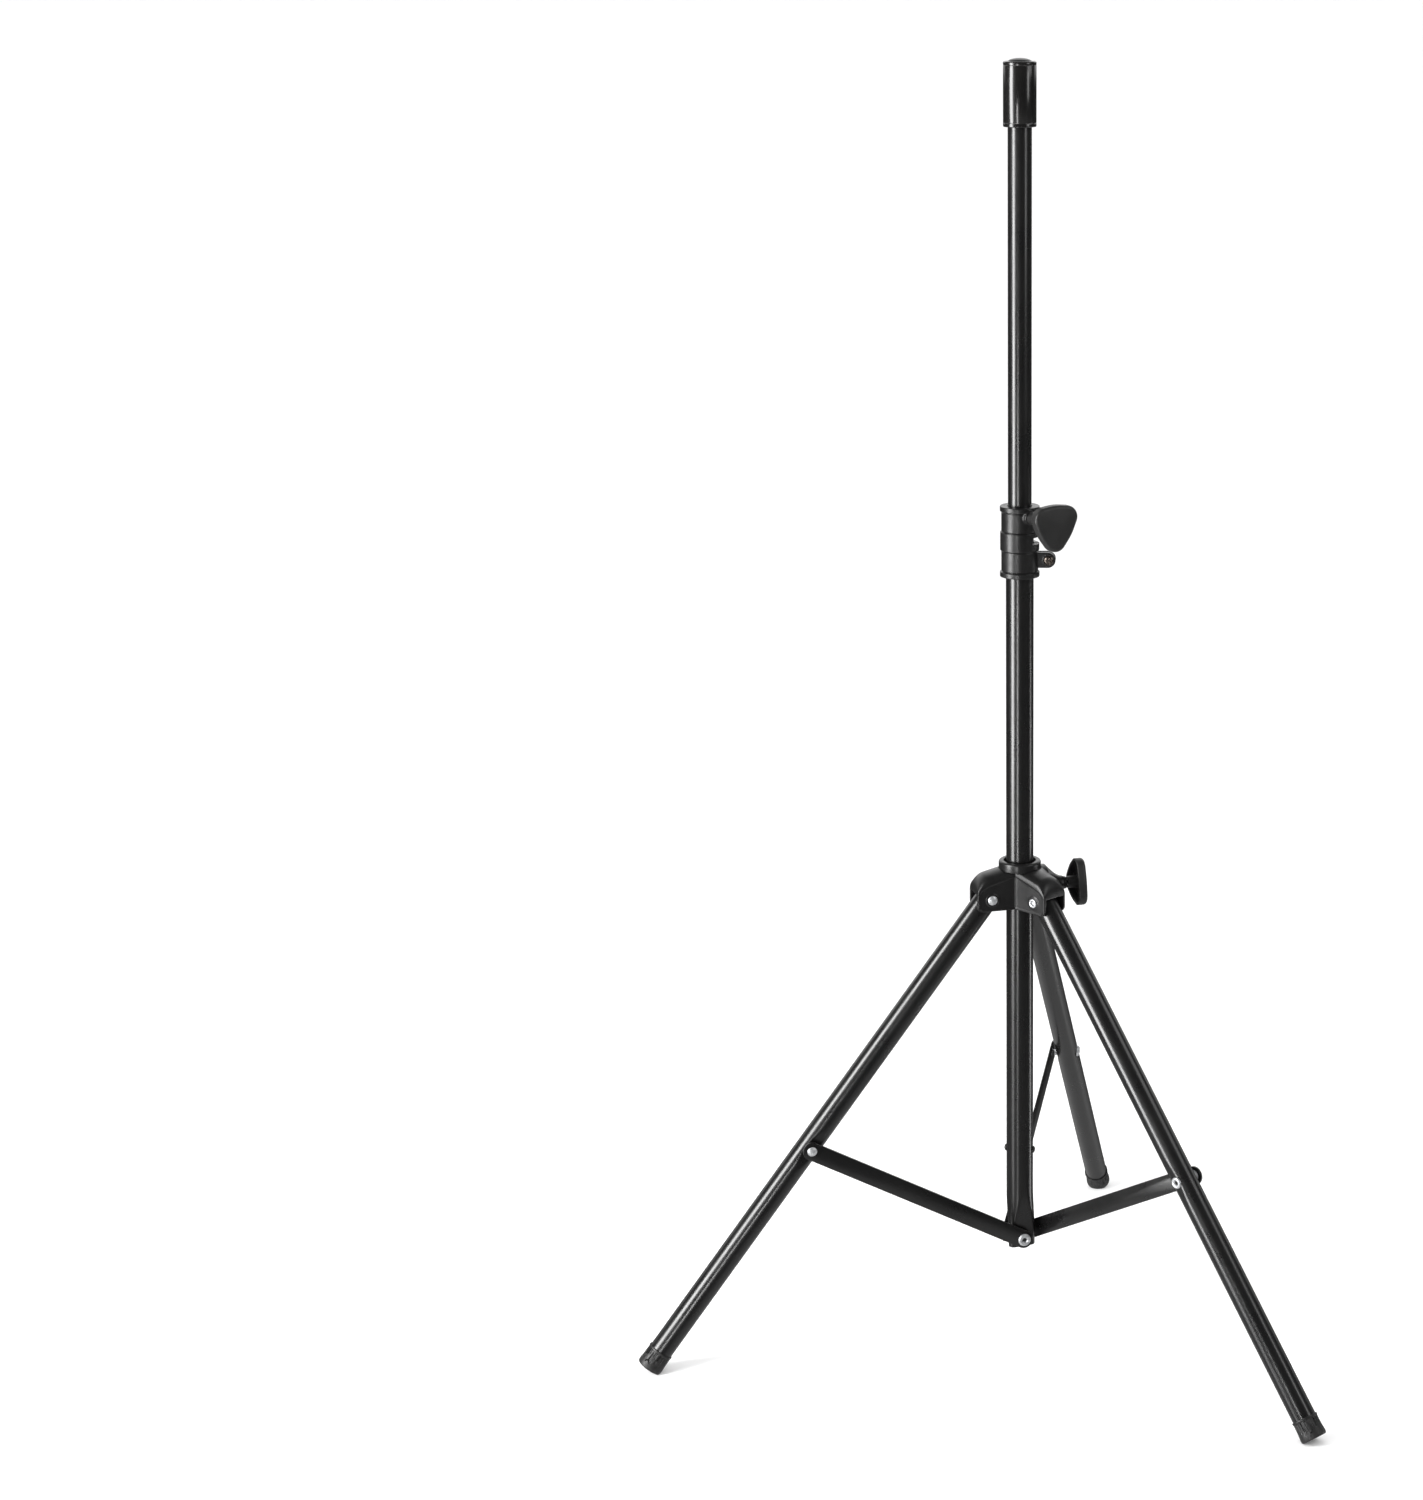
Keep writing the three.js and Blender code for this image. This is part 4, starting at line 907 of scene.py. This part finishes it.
def slot_shape(u, v, z, reach):
    """The pocket that an arm's leg folds into."""
    throat = np.maximum(reach - SLOT_RADIUS - u, z - MOUTH_TOP)
    pocket = np.minimum(np.hypot(u - reach, z) - SLOT_RADIUS, throat)
    return np.maximum(np.abs(v) - SLOT_HALF_WIDTH, pocket)


def taper(u, start, end, power):
    """1 up to a start, falling to 0 at an end."""
    return (1 - np.clip((u - start) / (end - start), 0, 1)) ** power


def hub_shape(pivot_z, arms, reach, knob, boss_end):
    """The hub's moulding. `knob` is the boss's (azimuth, height over the leg pivots)."""
    knob_azimuth, knob_z = knob

    def shape(x, y, z):
        z = z - pivot_z
        r = np.hypot(x, y)
        solid = ring_shape(r, z, HUB_CORE_RADIUS, HUB_BOTTOM, COLLAR_SEAT, 0.6)
        arm_places = [turn_to(x, y, azimuth) for azimuth in arms]
        vaults = [arm_shape(u, v, z, reach) for u, v in arm_places]
        solid = np.minimum(solid, np.minimum.reduce(vaults))
        stud_u, stud_v = turn_to(x, y, knob_azimuth)
        around = np.hypot(stud_v, z - knob_z)
        inner, outer = WEB_REACH
        flare = (WEB_RADIUS - WEB_TIP_RADIUS) * taper(stud_u, inner, outer, WEB_CURVE)
        web = (around - WEB_TIP_RADIUS - flare) / WEB_SOFTNESS
        web = overlap(web, slab(stud_u, 0, outer), 1.0)
        solid = blend(solid, overlap(web, knob_z - WEB_SKIRT - z, 2.0), 4.0)
        flare = (HUB_BOSS_RADIUS - HUB_BOSS_TIP) * taper(
            stud_u, HUB_BOSS_START, outer, HUB_BOSS_CURVE)
        boss = overlap(around - HUB_BOSS_TIP - flare, slab(stud_u, 0, boss_end), 1.2)
        solid = blend(solid, boss, 4.0)
        for u, v in arm_places:
            solid = carve(solid, slot_shape(u, v, z, reach), 0.9)
            rivet_hole = np.hypot(u - reach, z) - RIVET_RADIUS - HOLE_CLEARANCE
            solid = carve(solid, rivet_hole, 0.4)
        bush = np.maximum(r - BUSH_RADIUS - 0.3, BUSH_BOTTOM - 0.3 - z)
        collar = np.maximum(r - COLLAR_RADIUS - 0.3, COLLAR_SEAT - z)
        bore = np.minimum(r - MAST_RADIUS - 0.6, np.minimum(bush, collar))
        solid = carve(solid, bore, 0.6)
        return carve(solid, stud_hole(around, stud_u), 0.5)

    return shape


def add_hub():
    reach = Vector(joints["leg_1_hinge"]["pos_m"]).to_2d().length / MM
    pivot_z = joint_point("leg_1_hinge").z
    arms = [azimuth_of(joint_point(f"leg_{i}_hinge")) for i in (1, 2, 3)]
    knob_azimuth = azimuth_of(joint_axis("hub_knob_turn"))
    knob_z = joint_point("hub_knob_turn").z - pivot_z
    stem_start = extent("hub_knob_head", UP * (pivot_z + knob_z), radial(knob_azimuth))[0]
    shape = hub_shape(pivot_z, arms, reach, (knob_azimuth, knob_z), stem_start - STEM_GAP)
    low, high = box_mm("hub_bracket")
    mesh = surface("hub_bracket", shape, low, high, 0.65)
    add_piece("hub_bracket", mesh, IN_PLACE, "hub", "moulded_black")

    low, high = box_mm("hub_bush")
    inner, seat, lip = MAST_RADIUS + 0.4, pivot_z + COLLAR_SEAT + 0.3, high.z
    mouth = lip - COLLAR_MOUTH_DEPTH
    profile = [(inner, low.z + 0.5), (inner + 0.5, low.z), (BUSH_RADIUS, low.z),
               (BUSH_RADIUS, seat)]
    profile += arc(COLLAR_RADIUS - 0.7, seat + 0.7, 0.7, -90, 0)
    profile += arc(COLLAR_RADIUS - 2.4, lip - 2.4, 2.4, 0, 90, 10)
    profile += arc(COLLAR_MOUTH_RADIUS + 1.0, lip - 1.0, 1.0, 90, 180)
    profile += [(COLLAR_MOUTH_RADIUS, mouth), (COLLAR_MOUTH_RADIUS - 0.4, mouth - 0.4),
                (inner + 0.4, mouth - 0.4), (inner, mouth - 0.8)]
    add_turned("hub_bush", profile, IN_PLACE, "hub", "nylon_black", ROUND, True)


# ---- Rivets ----

def dome(seat, radius=5.4, height=2.6):
    """Outer half of a domed head, from its seat to the axis."""
    rise = height - 0.5
    ball = (radius ** 2 + rise ** 2) / (2 * rise)
    centre = seat + height - ball
    rim = asin(radius / ball)
    turns = [rim * (1 - i / 10) for i in range(11)]
    return [(radius - 0.15, seat), (radius, seat + 0.2)] + [
        (ball * sin(turn), centre + ball * cos(turn)) for turn in turns]


def rolled_ring(seat, radius):
    """Outer half of a rivet's rolled end, from its seat to its hollow middle."""
    bead = (radius - RING_HOLLOW) / 2
    hollow = [(RING_HOLLOW, seat + 0.3), (RING_HOLLOW - 0.2, seat - 1.2), (0.0, seat - 1.6)]
    return arc(RING_HOLLOW + bead, seat, bead, 0, 180, 10)[:-1] + hollow


def mirrored(profile):
    return [(radius, -z) for radius, z in reversed(profile)]


def add_rivet(node, place, body, profile):
    add_turned(node, profile, place, body, "zinc_steel")


def add_washer(node, place, body, bottom, top):
    profile = ring_wall(RIVET_RADIUS + 0.2, WASHER_RADIUS, bottom, top, 0.35)
    add_turned(node, profile, place, body, "zinc_steel", closed=True)


def shank(start, end):
    return [(RIVET_RADIUS, start), (RIVET_RADIUS, end)]


# ---- Legs and braces ----

def leg_loop(z, brace_z, radius, shrink):
    """Cross-section of a leg: round, with a flat for the brace on one side and a shallower one
    on the other."""
    blend_out = smooth_step(abs(z - brace_z) / LEG_FLAT_HALF_LENGTH)
    loop = []
    for i in range(ROUND):
        angle = 2 * pi * (i + 0.5) / ROUND
        x, y = radius * cos(angle), radius * sin(angle)
        for side, depth in ((1, LEG_FLAT), (-1, LEG_DIMPLE)):
            limit = depth + (LEG_RADIUS - depth) * blend_out - shrink
            soft = 0.8 * (1 - blend_out) + 0.01
            over = side * y - limit
            h = max(soft - abs(over), 0)
            y -= side * (max(over, 0) + h * h / (4 * soft))
        loop.append((x, y, z))
    return loop


def add_leg_tube(number, place, brace_z, bottom, top):
    near = [brace_z + LEG_FLAT_HALF_LENGTH * (i / 10 - 1) for i in range(21)]
    far_low = [bottom + (near[0] - bottom) * i / 8 for i in range(1, 8)]
    far_high = [near[-1] + (top - near[-1]) * i / 8 for i in range(1, 8)]
    levels = far_low + near + far_high
    edge = 0.5
    outside = [leg_loop(z, brace_z, LEG_RADIUS, 0) for z in [bottom] + levels]
    for a in (0, 0.5, 1.0, pi / 2):
        z, radius = top - edge + edge * sin(a), LEG_RADIUS - edge * (1 - cos(a))
        outside.append(leg_loop(z, brace_z, radius, 0))
    inside = [leg_loop(z, brace_z, LEG_RADIUS - LEG_WALL, LEG_WALL)
              for z in [bottom] + levels + [top - 0.3]]
    node = f"leg_tube_{number}"
    mesh = skin(node, outside + inside[::-1], closed=True)
    add_piece(node, mesh, place, f"leg_{number}", "tube_paint")


def add_foot(number, place, bottom, up, floor_level):
    """Rubber cup, worn flat at the floor. `up` is the world's up in the leg's own axes, and the
    floor's level is counted along it."""

    def shape(x, y, z):
        r = np.hypot(x, y)
        h = z - bottom
        belly = 0.35 * np.exp(-((h - 4.5) / 3.5) ** 2)
        wall = r - FOOT_RADIUS + 0.35 - belly + 0.012 * h
        solid = overlap(overlap(wall, -h, 2.2), h - FOOT_LENGTH, 0.8)
        lip = overlap(r - FOOT_RADIUS + 0.05, slab(h, FOOT_LENGTH - FOOT_LIP, FOOT_LENGTH), 0.8)
        solid = blend(solid, lip, 0.5)
        solid = overlap(solid, floor_level - (x * up.x + y * up.y + z * up.z), 0.5)
        u, v = turn_to(x, y, SLIT_AZIMUTH)
        slit = np.maximum(np.maximum(np.abs(v) - 0.35, slab(h, 7.0, 9.5)), 10 - u)
        solid = carve(solid, slit, 0.3)
        return carve(solid, np.maximum(r - LEG_RADIUS - 0.2, FOOT_SOLE - h), 0.5)

    node, reach = f"leg_foot_{number}", FOOT_RADIUS
    mesh = surface(node, shape, (-reach, -reach, bottom), (reach, reach, bottom + FOOT_LENGTH),
                   0.7)
    add_piece(node, mesh, place, f"leg_{number}", "foot_rubber")


def brace_rivet_place(number, tangent):
    """Where a brace meets its leg, in the plane that the leg folds in."""
    rivet = centre_of(f"brace_rivet_head_{number}")
    return rivet - tangent * rivet.dot(tangent)


def add_leg(number):
    body = f"leg_{number}"
    pivot = joint_point(f"{body}_hinge")
    tangent = joint_axis(f"{body}_hinge")
    to_pivot = pivot - brace_rivet_place(number, tangent)
    brace_z = -to_pivot.length
    up_leg = to_pivot.normalized()
    place = local_frame(pivot, tangent.cross(up_leg), up_leg)
    tube_low, tube_high = extent(f"leg_tube_{number}", pivot, up_leg)
    foot_low = extent(f"leg_foot_{number}", pivot, up_leg)[0]
    add_leg_tube(number, place, brace_z, tube_low, tube_high)
    up = (place.to_3x3().inverted() @ UP).normalized()
    add_foot(number, place, min(foot_low, tube_low - FOOT_SOLE - 0.3), up, -pivot.z)

    profile = [(LEG_PLUG_RADIUS, 4.0), (LEG_PLUG_RADIUS, tube_high - 2)]
    profile += arc(LEG_PLUG_RADIUS + 0.2, tube_high - 1.6, 0.6, 0, 90)
    add_turned(f"leg_plug_{number}", profile, place, body, "moulded_black", ROUND)

    across = Matrix.Rotation(radians(-90), 4, "X")
    hub_place = local_frame(pivot, tangent.cross(UP), UP) @ across
    seat = ARM_HALF_WIDTH + 0.15
    profile = mirrored(rolled_ring(seat, HUB_RING_RADIUS)) + shank(-seat, seat) + dome(seat)
    add_rivet(f"leg_pivot_rivet_{number}", hub_place, "hub", profile)

    leg_place = place @ Matrix.Translation((0, 0, brace_z)) @ across
    bar_inner, bar_outer = extent(f"brace_bar_{number}", pivot, tangent)
    seat = LEG_DIMPLE + 0.1
    profile = mirrored(rolled_ring(seat, LEG_RING_RADIUS)) + shank(-seat, bar_inner - 0.3)
    add_rivet(f"leg_brace_rivet_{number}", leg_place, body, profile)
    profile = shank(bar_inner, bar_outer) + dome(bar_outer + 0.1)
    add_rivet(f"brace_rivet_head_{number}", leg_place, f"brace_{number}", profile)
    add_washer(f"leg_washer_{number}", leg_place, body, LEG_FLAT + 0.2, bar_inner - 0.2)


def add_brace(number):
    body = f"brace_{number}"
    foot = joint_point(f"{body}_hinge")
    tangent = -joint_axis(f"{body}_hinge")
    along = brace_rivet_place(number, tangent) - foot
    length = along.length
    bar = f"brace_bar_{number}"
    bar_inner, bar_outer = extent(bar, foot, tangent)

    def outline(inset):
        radius = BRACE_HALF_WIDTH - inset
        points = []
        for end, start in ((0, 90), (length, -90)):
            for i in range(25):
                a = radians(start + 7.5 * i)
                points.append((end + radius * cos(a), radius * sin(a)))
        return points

    mesh = plate(bar, outline, bar_inner, bar_outer, 0.5)
    add_piece(bar, mesh, local_frame(foot, along, tangent), body, "tube_paint")

    mast_place = local_frame(foot, tangent.cross(UP), tangent)
    seat = bar_outer + 0.1
    profile = shank(5.0, seat) + rolled_ring(seat, MAST_RING_RADIUS)
    add_rivet(f"mast_brace_rivet_{number}", mast_place, "mast", profile)
    add_washer(f"mast_washer_{number}", mast_place, "mast", FLAT_DISTANCE + 0.1, bar_inner - 0.2)


def add_stop_pin():
    node = "pole_stop_pin"
    middle = centre_of(node)
    axis = Matrix.Rotation(STOP_PIN_TURN, 3, "Z") @ joint_axis("brace_1_hinge")
    reach = extent(node, middle, axis)[1]
    head, seat = RIVET_RADIUS + 1, MAST_RADIUS + 0.4
    half = [(RIVET_RADIUS, MAST_RADIUS - 0.3), (head, MAST_RADIUS - 0.1)]
    for degrees in range(0, 91, 15):
        a = radians(degrees)
        half.append((head * cos(a), seat + (reach - seat) * sin(a)))
    place = local_frame(middle, UP, axis)
    add_turned(node, mirrored(half) + half, place, "mast", "moulded_black")


add_mast()
add_pole()
add_clamp()
add_hub()
add_knob("clamp_knob", 0)
add_knob("hub_knob", HUB_KNOB_TURN)
for leg_number in (1, 2, 3):
    add_leg(leg_number)
    add_brace(leg_number)
add_stop_pin()

for part in frame["record"]["subparts"]:
    node = frame["nodes"][part["node"]]
    node.data.materials.clear()
    node.data.materials.append(LOOKS[part["material_slot"]])


# ---- Floor, light and camera ----

FLOOR_HALF_SIZE = 40.0
FILL_STRENGTH = 1.15
ROOM_DIM = 0.05
ROOM_BEHIND = 1.7
ROOM_BELOW = 0.5
# Name, azimuth, distance, lowest and highest point, width and radiance
SOFTBOXES = (
    ("key", 61, 2.6, -0.25, 2.6, 1.0, 17.0),
    ("key_floor", 60, 2.6, -2.0, -0.3, 0.6, 3.0),
    ("front", 18, 3.0, -0.5, 0.7, 0.3, 16.0),
    ("front_floor", 18, 3.0, -2.0, -0.5, 0.4, 3.0),
    ("rim_floor", -104, 2.4, -2.0, 0.25, 0.35, 5.5),
    ("side", -60, 3.0, 1.0, 2.2, 0.6, 4.0),
    ("high_side", -73, 2.5, 1.9, 2.9, 1.5, 2.2),
)
CAMERA_PLACE = (0, -3.4984, 1.611)
CAMERA_TILT = 14.147
CAMERA_LENS = 79.5
CAMERA_SENSOR = 36.0
CAMERA_SHIFT = (-0.2055, -0.029)


def add_floor():
    size = FLOOR_HALF_SIZE
    corners = [(-size, -size, 0), (size, -size, 0), (size, size, 0), (-size, size, 0)]
    mesh = mesh_of("floor", corners, [(0, 1, 2, 3)])
    floor = add_object("floor", mesh)
    g = Graph("floor_paper")
    color = g.mix(g.ramp(g.noise(3, 4), 0.3, 0.7), (0.90, 0.90, 0.90), (0.92, 0.92, 0.92))
    g.bump((g.noise(300, 3), 0.05))
    mesh.materials.append(g.finish(color, 0.85, specular=0.2))
    floor.visible_glossy = False


def add_softbox(name, azimuth, distance, low, high, width, radiance):
    """Upright strip of light at an azimuth, counted clockwise from the camera's side. Its part
    below the floor only shows in the glossy tubes, as the floor's own shine would."""
    light = bpy.data.lights.new(name, "AREA")
    light.shape = "RECTANGLE"
    light.size, light.size_y = width, high - low
    light.energy = radiance * pi * width * (high - low)
    lamp = add_object(name, light)
    turn = radians(azimuth)
    lamp.location = (-distance * sin(turn), -distance * cos(turn), (low + high) / 2)
    towards = Vector((-lamp.location.x, -lamp.location.y, 0))
    lamp.rotation_euler = towards.to_track_quat("-Z", "Y").to_euler()


def room_strength(g):
    """What the reflections see: dim, brighter just above the horizon behind the stand and brighter
    straight down, where the pale floor is."""
    view = g.add("ShaderNodeTexCoord").outputs["Generated"]
    direction = g.add("ShaderNodeSeparateXYZ", {0: view})
    y, z = direction.outputs["Y"], direction.outputs["Z"]
    horizon = g.ramp(z, 0.0, 0.12, 0.0, ROOM_BEHIND)
    behind = g.math("MULTIPLY", g.ramp(y, 0.4, 0.85), horizon)
    below = g.ramp(z, -0.3, -0.65, 0.0, ROOM_BELOW)
    return g.math("ADD", g.math("ADD", behind, below), ROOM_DIM)


def add_world():
    """White to the camera, an even fill for matt surfaces, and a dim room in the reflections."""
    world = bpy.data.worlds.new("studio")
    bpy.context.scene.world = world
    world.use_nodes = True
    g = Nodes(world.node_tree)
    path = g.add("ShaderNodeLightPath")
    fill = g.tree.nodes["Background"]
    g.feed(fill, {"Color": (1, 1, 1, 1), "Strength": FILL_STRENGTH})
    shader = fill.outputs[0]
    for kind, strength in (("Is Glossy Ray", room_strength(g)), ("Is Camera Ray", 1.0)):
        other = g.add("ShaderNodeBackground", {"Color": (1, 1, 1, 1), "Strength": strength})
        inputs = {0: path.outputs[kind], 1: shader, 2: other.outputs[0]}
        shader = g.add("ShaderNodeMixShader", inputs).outputs[0]
    g.feed(g.tree.nodes["World Output"], {"Surface": shader})


def add_camera():
    camera = bpy.data.cameras.new("camera")
    camera.lens = CAMERA_LENS
    camera.sensor_width = CAMERA_SENSOR
    camera.shift_x, camera.shift_y = CAMERA_SHIFT
    eye = add_object("camera", camera)
    eye.location = CAMERA_PLACE
    eye.rotation_euler = (radians(90 - CAMERA_TILT), 0, 0)
    bpy.context.scene.camera = eye


add_floor()
add_world()
for softbox in SOFTBOXES:
    add_softbox(*softbox)
add_camera()
bpy.context.scene.view_settings.view_transform = "Standard"
